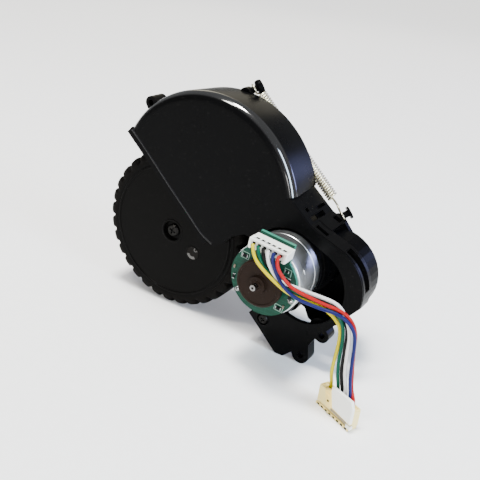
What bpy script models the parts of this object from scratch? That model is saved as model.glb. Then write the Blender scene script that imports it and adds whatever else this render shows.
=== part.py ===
"""Drive wheel module of a robot vacuum: fender housing, sprung swing arm, gearmotor, wheel and lead.

Lengths are named in millimetres and in the wheel's own axes: x runs level along the wheel,
y runs along the axle away from the motor's board, z is up, and the wheel's centre is (0, 0).
The near face of the fender wall is y = 0. WHEEL_AT moves all of it to the part's frame.
"""
import math

import bmesh
import bpy
from mathutils import Matrix, Vector

MM = 0.001
SEAT = 0.3

# Wheel centre in the part's frame: the floor is z = 0 and the box is centred on the origin
WHEEL_AT = Vector((-27.2, -4.7, 35.0))

# Wheel
TYRE_R = 35.0
LUG_COUNT = 32
LUG_HEIGHT = 1.7
TYRE_WALL = 4.7
TYRE_BORE_R = TYRE_R - TYRE_WALL
TYRE_SHOULDER = 2.0
HUB_R = TYRE_BORE_R - SEAT
HUB_DISC = 2.2
HUB_RIM = 2.4
HUB_BOSS_R = 6.0
HUB_RECESS_R = 4.4
HUB_RECESS = 1.6
HUB_RIBS = 6
HUB_RIB_HIGH = 4.0
DOWEL_R = 2.0
DOWEL_AT_R = 12.4
DOWEL_ANGLE = math.radians(-33.0)
SHAFT_R = 2.5

# Fender housing
WALL = 2.0
FENDER_AT = Vector((14.0, 20.8))
FENDER_R = 42.5
FENDER_DRAFT = 1.3
FENDER_FAR_R = FENDER_R - FENDER_DRAFT
FENDER_DEPTH = 23.0
FENDER_CORNER = 4.0
FENDER_START = math.radians(153.6)
FENDER_END = math.radians(15.5)
WHEEL_GAP = 1.2
WHEEL_WIDTH = 17.2
BOSS_HOLE_R = 1.3

# Motor
MOTOR_AT = Vector((56.4, 4.9))
MOTOR_R = 14.1
MOTOR_BACK = -15.0
MOTOR_SHAFT_R = 1.15
MOTOR_GAP = 1.3
CAN_WALL = 0.9
MAGNET_WALL = 2.5
MAGNET_BORE_R = MOTOR_R - CAN_WALL - SEAT - MAGNET_WALL
BOARD_R = 13.8
BOARD_THICK = 1.6
BOARD_TILT = math.radians(-6.5)
ENCODER_R = 9.3
ENCODER_Y = -22.0
TIP_Y = -26.2

# Swing arm, gear case and pivot
PIVOT_AT = Vector((50.3, -22.0))
PIVOT_R = 2.0
BUSH_WALL = 1.0
SWING = math.radians(20.0)
CASE_Y = 22.0
CASE_WALL = 1.8
CASE_SPLIT = 28.0
BELL_Y = 12.0
BELL_WALL = 1.6
ROUND_END_R = 14.8
COVER_END_R = 13.2
COVER_TOP_R = 11.9
BELL_R = 17.8

# Gear train: module, pinion teeth and gear teeth of each stage, from the motor to the wheel
STAGES = ((0.6, 10, 36), (0.8, 14, 28), (0.8, 14, 52), (1.0, 13, 39))
ADDENDUM = 0.85
DEDENDUM = 1.15
TOOTH_SHARE = 0.43
FACE = 2.4
LAYER_GAP = 0.4
PIN_R = 1.0
RUNNING = 0.3

# Spring between the fender's post and the arm's post
SPRING_Y = 26.0
SPRING_TOP = Vector((19.6, SPRING_Y, 63.4))
SPRING_LOW = Vector((67.1, SPRING_Y, 22.1))
SPRING_R = 2.2
SPRING_WIRE_R = 0.4
POST_R = 1.4
POST_HEAD_R = 2.6
POST_AXIS = Vector((0.62, 0.59, 0.52)).normalized()

# Lead
WIRE_R = 0.65
PITCH = 2.24
WAYS = 6
PLUG_REACH = 15.7
PLUG_SIDE = 1.1
PLUG_WIDTH = 15.8
PLUG_HIGH = 4.2
END_PITCH = 2.0
END_WAYS = 8
END_AT = Vector((94.45, -23.3, -35.0))
END_ROW = Vector((0.893, -0.449, 0.0)).normalized()
END_WIDTH = 18.6
END_THICK = 5.0
END_HIGH = 8.0

HUB_FACE = WALL + WHEEL_GAP
WHEEL_FAR = HUB_FACE + WHEEL_WIDTH
LAYER_1 = CASE_Y + CASE_WALL + LAYER_GAP
LAYER_2 = LAYER_1 + FACE + LAYER_GAP
LAYER_3 = LAYER_2 + FACE + LAYER_GAP
COVER_Y = LAYER_3 + FACE + LAYER_GAP
COVER_FAR = COVER_Y + CASE_WALL
DEPTH = Vector((0.0, 1.0, 0.0))


def centre_distance(stage):
    module, small, large = STAGES[stage]
    return module * (small + large) / 2


def train_angle():
    """The train runs straight from the wheel, so that its last gear meets the motor's pinion."""
    far = sum(centre_distance(stage) for stage in (1, 2, 3))
    near = MOTOR_AT.length
    cosine = (far ** 2 + near ** 2 - centre_distance(0) ** 2) / (2 * far * near)
    return math.atan2(MOTOR_AT.y, MOTOR_AT.x) - math.acos(cosine)


TRAIN = train_angle()
TRAIN_LINE = Vector((math.cos(TRAIN), math.sin(TRAIN)))
WHEEL_CENTRE = Vector((0.0, 0.0))
GEAR_3_AT = TRAIN_LINE * centre_distance(3)
GEAR_2_AT = GEAR_3_AT + TRAIN_LINE * centre_distance(2)
GEAR_1_AT = GEAR_2_AT + TRAIN_LINE * centre_distance(1)


def clear_scene():
    for thing in list(bpy.data.objects):
        bpy.data.objects.remove(thing, do_unlink=True)


def material(name, colour, roughness, metallic=0.0):
    made = bpy.data.materials.new(name)
    made.use_nodes = True
    shader = made.node_tree.nodes["Principled BSDF"]
    shader.inputs["Base Color"].default_value = (*colour, 1.0)
    shader.inputs["Roughness"].default_value = roughness
    shader.inputs["Metallic"].default_value = metallic
    return made


def make_materials():
    return {
        "black": material("black_plastic", (0.018, 0.017, 0.019), 0.32),
        "hub": material("hub_plastic", (0.022, 0.019, 0.019), 0.38),
        "tyre": material("tyre_rubber", (0.020, 0.018, 0.018), 0.6),
        "gear": material("gear_plastic", (0.78, 0.76, 0.70), 0.5),
        "steel": material("steel", (0.62, 0.62, 0.63), 0.28, 1.0),
        "bronze": material("bronze", (0.50, 0.33, 0.16), 0.4, 1.0),
        "copper": material("copper", (0.62, 0.30, 0.16), 0.4, 1.0),
        "magnet": material("magnet", (0.06, 0.06, 0.065), 0.6),
        "encoder": material("encoder_magnet", (0.075, 0.052, 0.045), 0.5),
        "board": material("board_green", (0.02, 0.25, 0.18), 0.4),
        "white": material("white_nylon", (0.84, 0.84, 0.81), 0.5),
        "cream": material("cream_nylon", (0.86, 0.83, 0.70), 0.5),
        "yellow": material("wire_yellow", (0.80, 0.68, 0.10), 0.45),
        "green": material("wire_green", (0.02, 0.36, 0.27), 0.45),
        "black_wire": material("wire_black", (0.02, 0.02, 0.022), 0.45),
        "white_wire": material("wire_white", (0.85, 0.85, 0.84), 0.45),
        "blue": material("wire_blue", (0.07, 0.13, 0.45), 0.45),
        "red": material("wire_red", (0.70, 0.05, 0.06), 0.45),
    }


def in_space(flat, y):
    return Vector((flat.x, y, flat.y))


def around(centre, radius, angle):
    return Vector((centre.x + radius * math.cos(angle), centre.y + radius * math.sin(angle)))


def arc(centre, radius, start, end, steps):
    return [around(centre, radius, start + (end - start) * i / steps) for i in range(steps + 1)]


def circle(centre, radius, steps=32):
    return arc(centre, radius, 0.0, math.tau, steps)[:-1]


def hull(points):
    """Convex outline round points in the plane, anticlockwise."""
    ordered = sorted({(round(p.x, 6), round(p.y, 6)) for p in points})

    def half(run):
        chain = []
        for p in run:
            while len(chain) > 1:
                a, b = chain[-2], chain[-1]
                if (b[0] - a[0]) * (p[1] - a[1]) - (b[1] - a[1]) * (p[0] - a[0]) > 1e-9:
                    break
                chain.pop()
            chain.append(p)
        return chain[:-1]

    return [Vector(p) for p in half(ordered) + half(reversed(ordered))]


def belt(first, first_r, second, second_r, steps=48):
    """Outline of two circles and the straight runs that join them."""
    return hull(circle(first, first_r, steps) + circle(second, second_r, steps))


def chain(stops, steps=48):
    """Outline of a row of circles, each belted to the next. stops are (centre, radius)."""
    lower, upper = [], []
    for (a, a_r), (b, b_r) in zip(stops, stops[1:]):
        line = b - a
        heading = math.atan2(line.y, line.x)
        spread = math.acos((a_r - b_r) / line.length)
        lower.append(heading - spread)
        upper.append(heading + spread)

    def turn(stop, start, end):
        count = max(int(abs(end - start) / math.tau * steps), 1)
        return arc(stop[0], stop[1], start, end, count)

    def corner(stop, first, second):
        """Where the two straight runs at a waist meet."""
        middle = (first + second) / 2
        return [around(stop[0], stop[1] / math.cos((first - second) / 2), middle)]

    outline = turn(stops[0], upper[0], lower[0] + math.tau)
    for i in range(1, len(stops) - 1):
        joint = turn if lower[i] > lower[i - 1] else corner
        outline += joint(stops[i], lower[i - 1], lower[i])
    outline += turn(stops[-1], lower[-1], upper[-1])
    for i in range(len(stops) - 2, 0, -1):
        joint = turn if upper[i - 1] > upper[i] else corner
        outline += joint(stops[i], upper[i], upper[i - 1])
    return outline


def inset(line, distance):
    """The run of points moved to its right by distance, with mitred corners."""
    normals = []
    for a, b in zip(line, line[1:]):
        along = (b - a).normalized()
        normals.append(Vector((along.y, -along.x)))
    moved = []
    for i, point in enumerate(line):
        before = normals[max(i - 1, 0)]
        after = normals[min(i, len(normals) - 1)]
        moved.append(point + (before + after) * (distance / (1 + before.dot(after))))
    return moved


def finish_mesh(name, shape):
    bmesh.ops.remove_doubles(shape, verts=shape.verts, dist=1e-7)
    bmesh.ops.recalc_face_normals(shape, faces=shape.faces)
    mesh = bpy.data.meshes.new(name)
    shape.to_mesh(mesh)
    shape.free()
    thing = bpy.data.objects.new(name, mesh)
    bpy.context.scene.collection.objects.link(thing)
    return thing


def prism(outline, near, far, axis=DEPTH, name="shape"):
    """Outline in x and z, extruded from y = near to y = far, or a slanted run along axis."""
    shape = bmesh.new()
    rings = []
    for y in (near, far):
        rings.append([shape.verts.new((in_space(p, 0.0) + axis * y) * MM) for p in outline])
    bridge(shape, rings)
    shape.faces.new(rings[0])
    shape.faces.new(reversed(rings[1]))
    return finish_mesh(name, shape)


def bridge(shape, rings):
    count = len(rings[0])
    for low, high in zip(rings, rings[1:]):
        for i in range(count):
            j = (i + 1) % count
            shape.faces.new((low[i], high[i], high[j], low[j]))


def ring_stack(outer, inner, name="shape"):
    """Closed ring: outer rings of (outline, y) run out, and inner rings run back."""
    shape = bmesh.new()
    made = []
    for outline, y in outer + inner:
        made.append([shape.verts.new(in_space(p, y) * MM) for p in outline])
    bridge(shape, made + [made[0]])
    return finish_mesh(name, shape)


def turned(profile, centre, steps=32, name="shape", start=0.0):
    """Profile of (radius, y), turned about the y axis through centre. It is open at the axis."""
    shape = bmesh.new()
    rings = []
    for radius, y in profile:
        if radius == 0:
            rings.append([shape.verts.new(in_space(centre, y) * MM)])
            continue
        outline = arc(centre, radius, start, start + math.tau, steps)[:-1]
        rings.append([shape.verts.new(in_space(p, y) * MM) for p in outline])
    closed = len(rings[0]) > 1
    for low, high in zip(rings, rings[1:] + ([rings[0]] if closed else [])):
        for i in range(steps):
            j = (i + 1) % steps
            if len(low) == 1:
                shape.faces.new((low[0], high[i], high[j]))
            elif len(high) == 1:
                shape.faces.new((low[i], high[0], low[j]))
            else:
                shape.faces.new((low[i], high[i], high[j], low[j]))
    return finish_mesh(name, shape)


def tube_between(low, high, radius, steps=20):
    """Round bar between two points in space."""
    shape = bmesh.new()
    axis = (high - low).normalized()
    turn = axis.to_track_quat("Z", "Y").to_matrix().to_4x4()
    place = Matrix.Translation((low + high) / 2 * MM) @ turn
    bmesh.ops.create_cone(
        shape,
        cap_ends=True,
        segments=steps,
        radius1=radius * MM,
        radius2=radius * MM,
        depth=(high - low).length * MM,
        matrix=place,
    )
    return finish_mesh("shape", shape)


def sweep(points, radius, sides=8):
    """Bent wire through points in space, with a frame that doesn't twist."""
    shape = bmesh.new()
    tangents = []
    for i, point in enumerate(points):
        ahead = points[min(i + 1, len(points) - 1)]
        behind = points[max(i - 1, 0)]
        tangents.append((ahead - behind).normalized())
    side = tangents[0].orthogonal().normalized()
    rings = []
    for point, tangent in zip(points, tangents):
        side = (side - tangent * side.dot(tangent)).normalized()
        other = tangent.cross(side)
        ring = []
        for k in range(sides):
            angle = math.tau * k / sides
            reach = side * math.cos(angle) + other * math.sin(angle)
            ring.append(shape.verts.new((point + reach * radius) * MM))
        rings.append(ring)
    bridge(shape, rings)
    shape.faces.new(rings[0])
    shape.faces.new(reversed(rings[-1]))
    return finish_mesh("shape", shape)


def block(centre, size, turn=None):
    """Box with its middle at centre. turn is a rotation in space."""
    shape = bmesh.new()
    place = Matrix.Translation(centre * MM)
    if turn is not None:
        place = place @ turn.to_4x4()
    place = place @ Matrix.Diagonal((*(size * MM), 1.0))
    bmesh.ops.create_cube(shape, size=1.0, matrix=place)
    return finish_mesh("shape", shape)


def shaped(name, look, solids, cuts=(), origin=None, smooth=32.0):
    """Unites solids, cuts the cuts away, and leaves one object with its origin on its axis."""
    base = solids[0]
    groups = []
    for operation, others in (("UNION", solids[1:]), ("DIFFERENCE", cuts)):
        if not others:
            continue
        group = bpy.data.collections.new("form")
        for other in others:
            group.objects.link(other)
        step = base.modifiers.new("form", "BOOLEAN")
        step.operation = operation
        step.solver = "EXACT"
        step.operand_type = "COLLECTION"
        step.collection = group
        groups.append(group)
    bpy.context.view_layer.update()
    graph = bpy.context.evaluated_depsgraph_get()
    mesh = bpy.data.meshes.new_from_object(base.evaluated_get(graph))
    mesh.name = name
    for spent in (*solids, *cuts):
        bpy.data.objects.remove(spent, do_unlink=True)
    for group in groups:
        bpy.data.collections.remove(group)
    place = origin if origin is not None else Vector((0.0, 0.0, 0.0))
    mesh.transform(Matrix.Translation(-place * MM))
    mesh.materials.clear()
    mesh.materials.append(look)
    mesh.shade_smooth()
    mesh.set_sharp_from_angle(angle=math.radians(smooth))
    thing = bpy.data.objects.new(name, mesh)
    thing.location = place * MM
    bpy.context.scene.collection.objects.link(thing)
    return thing


def gear_outline(teeth, module, phase):
    """Straight-flanked teeth with backlash. The first tooth points along phase."""
    radius = module * teeth / 2
    pitch = math.tau / teeth
    half = TOOTH_SHARE * pitch / 2
    flank = math.tan(math.radians(20.0)) * module / radius
    tip = half - flank * ADDENDUM
    root = half + flank * DEDENDUM * 0.6
    outline = []
    for i in range(teeth):
        middle = phase + i * pitch
        for angle, reach in ((-root, -DEDENDUM), (-tip, ADDENDUM), (tip, ADDENDUM), (root, -DEDENDUM)):
            outline.append(around(WHEEL_CENTRE, radius + reach * module, middle + angle))
    return outline


def gear_body(centre, teeth, module, phase, near, far):
    outline = [p + centre for p in gear_outline(teeth, module, phase)]
    return prism(outline, near, far)


def phases():
    """Tooth phase of each gear of the train, so that every pair is in mesh at rest."""
    motor_line = GEAR_1_AT - MOTOR_AT
    toward = math.atan2(motor_line.y, motor_line.x)
    back = TRAIN + math.pi
    found = [toward]
    found.append(toward + math.pi + math.pi / STAGES[0][2])
    for module, small, large in STAGES[1:]:
        found.append(back)
        found.append(TRAIN + math.pi / large)
    return found


def pin_bore(centre, near, far, radius):
    return turned([(0, near), (radius, near), (radius, far), (0, far)], centre, 16)


def rod(centre, near, far, radius, steps=20):
    return turned([(0, near), (radius, near), (radius, far), (0, far)], centre, steps)


def fender_profile():
    """Section of the arch in radius and depth: near wall, round corner and drafted rim."""
    draft = (FENDER_R - FENDER_FAR_R) / FENDER_DEPTH
    section = [(FENDER_R - FENDER_CORNER - 2.0, 0.03), (FENDER_R - FENDER_CORNER - 0.1, 0.03)]
    for i in range(1, 6):
        angle = math.radians(-90.0 + 18.0 * i)
        corner_r = FENDER_R - FENDER_CORNER * (1 - math.cos(angle))
        section.append((corner_r, FENDER_CORNER * (1 + math.sin(angle))))
    section.append((FENDER_FAR_R, FENDER_DEPTH))
    section.append((FENDER_FAR_R - WALL, FENDER_DEPTH))
    inner = FENDER_CORNER - WALL
    for i in range(3):
        angle = math.radians(-30.0 * i)
        corner_r = FENDER_R - WALL - draft * FENDER_CORNER - inner * (1 - math.cos(angle))
        section.append((corner_r, FENDER_CORNER + inner * math.sin(angle)))
    section.append((FENDER_R - FENDER_CORNER - 0.4, WALL - 0.03))
    section.append((FENDER_R - FENDER_CORNER - 2.0, WALL - 0.03))
    return section


def fender_arch(steps=44):
    """The section swept round the fender's centre from the cut corner to the skirt."""
    section = fender_profile()
    shape = bmesh.new()
    rings = []
    for i in range(steps + 1):
        angle = FENDER_START + (FENDER_END - FENDER_START) * i / steps
        ring = [in_space(around(FENDER_AT, radius, angle), y) for radius, y in section]
        rings.append([shape.verts.new(p * MM) for p in ring])
    bridge(shape, rings)
    shape.faces.new(rings[0])
    shape.faces.new(reversed(rings[-1]))
    return finish_mesh("shape", shape)


def motor_opening():
    """The motor at rest and swung in, one round-ended opening that stays open to the left."""
    radius = MOTOR_R + MOTOR_GAP
    end = swung_in(MOTOR_AT) + Vector((0.7, -1.6))
    round_hole = belt(MOTOR_AT, radius, end, radius + 1.0, 40)
    left = [Vector((34.0, 9.8)), Vector((34.0, -14.0)), Vector((44.3, -19.6)), Vector((62.0, -13.4))]
    return round_hole, left


def swung_in(point):
    """Where a point of the arm goes at the end of its travel."""
    reach = point - PIVOT_AT
    c, s = math.cos(SWING), math.sin(SWING)
    return PIVOT_AT + Vector((reach.x * c + reach.y * s, reach.y * c - reach.x * s))


# Corners of the near wall past the arch, clockwise: skirt, lobe, foot and lower plate
SKIRT_LINE = (Vector((53.7, 31.9)), Vector((63.6, 24.0)), Vector((70.6, 20.9)))
SKIRT_TAB = (Vector((63.1, 24.35)), Vector((69.6, 21.5)))
LOBE_AT = Vector((71.5, 1.4))
LOBE_R = 18.0
FOOT_LINE = (Vector((79.3, -14.7)), Vector((74.0, -21.5)), Vector((71.2, -27.0)))
PLATE_LINE = (Vector((65.0, -31.5)), Vector((61.4, -35.0)), Vector((57.8, -35.0)), Vector((43.4, -21.6)))
FOOT_DEPTH = 14.0
STEP = 0.15
SKIRT_DEPTH = 8.6
CUT_CORNER = Vector((-25.2, 40.3))
CUT_TURN = Vector((15.9, 5.7))
CUT_END = Vector((22.9, 1.2))


def near_wall():
    """Flat near wall of the fender and the lobe round the motor."""
    flat_r = FENDER_R - FENDER_CORNER - 0.25
    outline = arc(FENDER_AT, flat_r, FENDER_START - 0.004, FENDER_END + 0.004, 44)
    outline.append(around(FENDER_AT, FENDER_R - 1.0, FENDER_END - 0.01))
    outline += inset(SKIRT_LINE[1:] + tuple(lobe_arc()) + FOOT_LINE + PLATE_LINE, STEP)
    outline += [Vector((44.9, -19.9)), Vector((50.0, -5.0)), Vector((42.0, 10.6))]
    outline += [Vector((36.5, 11.4)), Vector((31.5, 9.0)), Vector((27.6, 4.6)), CUT_END, CUT_TURN]
    outline.append(CUT_TURN + (CUT_CORNER - CUT_TURN) * 0.87)
    return prism(outline, 0.0, WALL)


def lobe_arc():
    return arc(LOBE_AT, LOBE_R, math.radians(72.0), math.radians(-12.0), 14)


def cut_lip():
    """Step behind the cut edge of the near wall, down to the notch at its end."""
    along = (CUT_TURN - CUT_CORNER).normalized()
    down = Vector((along.y, -along.x))
    start = CUT_CORNER + along * 1.0
    end = CUT_TURN + along * 4.5
    outline = [start - down * 1.2, start + down * 2.0, end + down * 3.2, end - down * 1.2]
    return prism(outline, WALL - 0.8, WALL + 0.5)


def strip(line, thick, near, far):
    """Wall of even thickness along a run of points, standing on the inner side of the run."""
    return prism(list(line) + inset(line, thick)[::-1], near, far)


def lug(centre, root, radius, near, far):
    return prism(belt(centre, radius, root, radius + 0.8, 20), near, far)


LUG_A = Vector((69.0, -31.4))
LUG_B = Vector((76.4, -19.2))
TOP_BOSS = Vector((-19.0, 51.2))


def wheel_housing(look):
    round_hole, left = motor_opening()
    lobe = lobe_arc()
    solids = [
        fender_arch(),
        near_wall(),
        cut_lip(),
        strip(SKIRT_LINE[:2], WALL, 0.6, CASE_Y - 0.5),
        strip((SKIRT_LINE[1] + Vector((-0.6, 0.2)),) + SKIRT_LINE[2:] + tuple(lobe), 1.6, 0.7, SKIRT_DEPTH),
        strip((lobe[-1] + Vector((-0.1, 0.9)),) + FOOT_LINE[:2], 1.6, 0.8, SKIRT_DEPTH - 2.0),
        strip(PLATE_LINE, WALL, 0.6, FOOT_DEPTH),
        strip(SKIRT_TAB, 1.6, SKIRT_DEPTH - 0.6, CASE_Y - 0.6),
        lug(LUG_A, Vector((67.5, -27.0)), 3.6, 0.1, 6.0),
        lug(LUG_B, Vector((73.5, -17.3)), 3.0, 0.1, 6.0),
        lug(TOP_BOSS, Vector((-15.8, 48.2)), 2.7, 7.0, 15.0),
        rod(PIVOT_AT, 0.5, CASE_Y - 1.2, PIVOT_R + SEAT + 2.2, 28),
        spring_ear(),
        tube_between(SPRING_TOP - POST_AXIS * 4.6, SPRING_TOP + POST_AXIS * 2.2, POST_R, 14),
        tube_between(SPRING_TOP + POST_AXIS * 1.6, SPRING_TOP + POST_AXIS * 2.5, POST_HEAD_R, 20),
    ]
    cuts = [
        prism(round_hole, -1.0, WALL + 0.6),
        prism(left, -1.0, WALL + 0.6),
        pin_bore(LUG_A, -1.0, 7.0, BOSS_HOLE_R),
        pin_bore(LUG_B, -1.0, 7.0, BOSS_HOLE_R),
        pin_bore(TOP_BOSS, 6.0, 16.0, BOSS_HOLE_R),
        rod(PIVOT_AT, 3.0, CASE_Y, PIVOT_R + SEAT, 20),
        pin_bore(PIVOT_AT, -1.0, 4.0, 1.5),
        rod(PIVOT_AT, -1.0, 1.2, 2.7, 20),
    ]
    cuts += skirt_windows()
    cuts += lobe_window()
    return shaped("wheel_housing", look, solids, cuts)


def spring_ear():
    """Ear on the fender's far edge that carries the upper spring post."""
    foot = SPRING_TOP - POST_AXIS * 4.0
    tip = Vector((foot.x, foot.z))
    root = tip + (FENDER_AT - tip).normalized() * 1.4
    return prism(belt(root, 2.7, tip, 2.4, 20), FENDER_DEPTH - 2.0, foot.y + 0.6)


def skirt_windows():
    """Slots and a pocket through the slanted skirt between the arch and the lobe."""
    first, corner, last = SKIRT_LINE[:3]
    places = (
        (first, corner, 6.9, 1.6, 4.4, 6.6),
        (first, corner, 8.2, 1.3, 12.4, 19.6),
        (first, corner, 11.0, 2.2, 4.0, 15.2),
        (corner, last, 4.2, 5.6, WALL + 0.4, WALL + 2.8),
        (corner, last, 3.8, 3.4, 16.8, 20.0),
    )
    windows = []
    for start, end, reach, wide, y_low, y_high in places:
        along = (end - start).normalized()
        turn = Matrix.Rotation(-math.atan2(along.y, along.x), 3, "Y")
        middle = in_space(start + along * reach, (y_low + y_high) / 2)
        windows.append(block(middle, Vector((wide, y_high - y_low, 5.0)), turn))
    return windows


def lobe_window():
    """Curved window in the lobe's skirt, next to the near wall."""
    outline = arc(LOBE_AT, LOBE_R + 2.0, math.radians(66.0), math.radians(8.0), 12)
    outline += arc(LOBE_AT, LOBE_R - 3.0, math.radians(8.0), math.radians(66.0), 12)
    return [prism(outline, WALL + 0.2, WALL + 4.4)]


def case_outline(margin, end_r=ROUND_END_R):
    """The gear case's outline, margin smaller than its outside. end_r is at the motor's end."""
    stops = (
        (WHEEL_CENTRE, 22.8 - margin),
        (GEAR_3_AT, 23.9 - margin),
        (GEAR_2_AT, 14.0 - margin),
        (GEAR_1_AT, end_r - margin),
    )
    return chain(stops, 56)


def case_ears():
    """Places of the case screws, just outside the gears."""
    ears = []
    for angle in (118.0, 214.0):
        ears.append(around(WHEEL_CENTRE, 24.6, math.radians(angle)))
    for angle in (74.0, 286.0):
        ears.append(around(GEAR_3_AT, 25.8, math.radians(angle)))
    ears.append(around(GEAR_1_AT, 15.0, math.radians(-84.0)))
    return ears


def arm_bolts():
    """Places of the two screws that hold the motor to the case."""
    return [around(MOTOR_AT, 8.0, math.radians(angle)) for angle in (110.0, 290.0)]


def case_inner(look):
    bell_out = belt(MOTOR_AT, MOTOR_R + SEAT + BELL_WALL, GEAR_1_AT, BELL_R, 40)
    bell_in = belt(MOTOR_AT, MOTOR_R - 1.0, GEAR_1_AT, BELL_R - BELL_WALL, 40)
    cup = circle(MOTOR_AT, MOTOR_R + SEAT + BELL_WALL, 40)
    web = [Vector((60.6, -13.4)), Vector((64.7, -20.8)), Vector((70.0, -23.4)), Vector((79.0, -18.4)), Vector((80.0, -8.0))]
    low_post = SPRING_LOW
    post_foot = Vector((SPRING_LOW.x, SPRING_LOW.z)) - Vector((1.5, 2.4))
    solids = [
        prism(case_outline(0.0), CASE_Y, CASE_SPLIT),
        prism(bell_out, BELL_Y, CASE_Y + CASE_WALL - 0.2),
        prism(web, BELL_Y + 0.2, BELL_Y + 2.0),
        prism(belt(PIVOT_AT, 5.4, Vector((46.5, -11.0)), 6.0, 24), CASE_Y + 0.2, CASE_SPLIT - 0.2),
        prism(belt(post_foot, 3.0, GEAR_1_AT + Vector((0.8, 13.0)), 4.4, 20), CASE_Y + 0.3, SPRING_Y - 1.2),
        tube_between(low_post - POST_AXIS * 3.6, low_post + POST_AXIS * 2.2, POST_R, 14),
        tube_between(low_post + POST_AXIS * 1.6, low_post + POST_AXIS * 2.5, POST_HEAD_R, 20),
    ]
    solids += [prism(circle(ear, 3.2, 16), CASE_Y + 0.4, CASE_SPLIT - 0.1) for ear in case_ears()]
    chamber = prism(bell_in, BELL_Y - 1.0, CASE_Y)
    kept = prism(cup, BELL_Y - 2.0, CASE_Y + 1.0)
    cuts = [
        prism(case_outline(CASE_WALL), CASE_Y + CASE_WALL, CASE_SPLIT + 1.0),
        shaped("hollow", look, [chamber], [kept]),
        rod(MOTOR_AT, BELL_Y - 1.5, CASE_Y, MOTOR_R + SEAT, 40),
        rod(MOTOR_AT, CASE_Y - 1.0, CASE_Y + 3.0, 3.4, 20),
        rod(WHEEL_CENTRE, CASE_Y - 1.0, CASE_Y + 3.0, SHAFT_R + RUNNING + BUSH_WALL + SEAT, 24),
        rod(PIVOT_AT, CASE_Y - 1.0, CASE_SPLIT + 1.0, PIVOT_R + RUNNING + BUSH_WALL + SEAT, 24),
    ]
    cuts += [pin_bore(at, CASE_Y - 1.0, CASE_Y + 3.0, PIN_R + SEAT) for at in (GEAR_1_AT, GEAR_2_AT, GEAR_3_AT)]
    cuts += [pin_bore(at, CASE_Y - 1.0, CASE_Y + 3.0, 1.3) for at in arm_bolts()]
    cuts += [rod(at, CASE_Y + 0.7, CASE_Y + 3.0, 2.6, 16) for at in arm_bolts()]
    cuts += [pin_bore(ear, CASE_Y + 1.5, CASE_SPLIT + 1.0, 1.0) for ear in case_ears()]
    return shaped("case_inner", look, solids, cuts, in_space(PIVOT_AT, CASE_Y))


def case_outer(look):
    near = CASE_SPLIT + SEAT
    step_y = LAYER_3 + 1.4
    solids = [prism(case_outline(0.0, COVER_END_R), near, step_y)]
    solids.append(prism(case_outline(0.5, COVER_TOP_R), step_y - 0.6, COVER_FAR))
    solids += [prism(circle(ear, 3.2, 16), near + 0.1, COVER_FAR - 2.0) for ear in case_ears()]
    solids.append(rod(WHEEL_CENTRE, COVER_Y + 0.4, COVER_FAR + 1.2, 6.0, 28))
    cuts = [prism(case_outline(CASE_WALL, COVER_TOP_R), near - 1.0, COVER_Y)]
    cuts.append(rod(WHEEL_CENTRE, COVER_Y - 1.0, COVER_FAR + 0.2, SHAFT_R + RUNNING, 24))
    cuts += [pin_bore(at, COVER_Y - 1.0, COVER_FAR - 0.6, PIN_R + SEAT) for at in (GEAR_1_AT, GEAR_2_AT, GEAR_3_AT)]
    cuts += [pin_bore(ear, near - 1.0, COVER_FAR, 1.3) for ear in case_ears()]
    cuts += [rod(ear, COVER_FAR - 2.1, COVER_FAR + 1.0, 2.75) for ear in case_ears()]
    return shaped("case_outer", look, solids, cuts, in_space(PIVOT_AT, near))


def screw(name, look, at, head_near, head_far, tip, head_r, shank_r):
    """Pan-head screw along y. tip is the shank's end, on either side of the head."""
    seat = head_far if tip > head_far else head_near
    back = head_near if tip > head_far else head_far
    profile = [(0, back), (head_r * 0.8, back), (head_r, (back + seat) / 2), (head_r, seat)]
    profile += [(shank_r, seat), (shank_r, tip), (0, tip)]
    depth = (seat - back) * 0.55
    slots = []
    for turn in (0.0, math.pi / 2):
        spin = Matrix.Rotation(turn + 0.4, 3, "Y")
        size = Vector((head_r * 1.1, abs(depth) * 2, head_r * 0.26))
        slots.append(block(in_space(at, back), size, spin))
    return shaped(name, look, [turned(profile, at, 16)], slots, in_space(at, seat))


def tyre(look):
    pitch = math.tau / LUG_COUNT
    marks = ((-0.42, -LUG_HEIGHT), (-0.28, -0.25), (0.0, 0.0), (0.28, -0.25))

    def outline(drop):
        points = []
        for i in range(LUG_COUNT):
            middle = -math.pi / 2 + i * pitch
            for share, reach in marks:
                lower = max(TYRE_R + reach - drop, TYRE_BORE_R + 1.0)
                points.append(around(WHEEL_CENTRE, lower, middle + share * pitch))
        return points

    near = HUB_FACE + 0.5
    far = WHEEL_FAR - 0.2
    bore = arc(WHEEL_CENTRE, TYRE_BORE_R, -math.pi / 2, math.tau - math.pi / 2, 4 * LUG_COUNT)[:-1]
    outer = [(outline(2.4), near), (outline(0.0), near + TYRE_SHOULDER)]
    outer += [(outline(0.0), far - TYRE_SHOULDER), (outline(2.4), far)]
    return shaped("tyre", look, [ring_stack(outer, [(bore, far), (bore, near)])], (), in_space(WHEEL_CENTRE, near))


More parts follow.
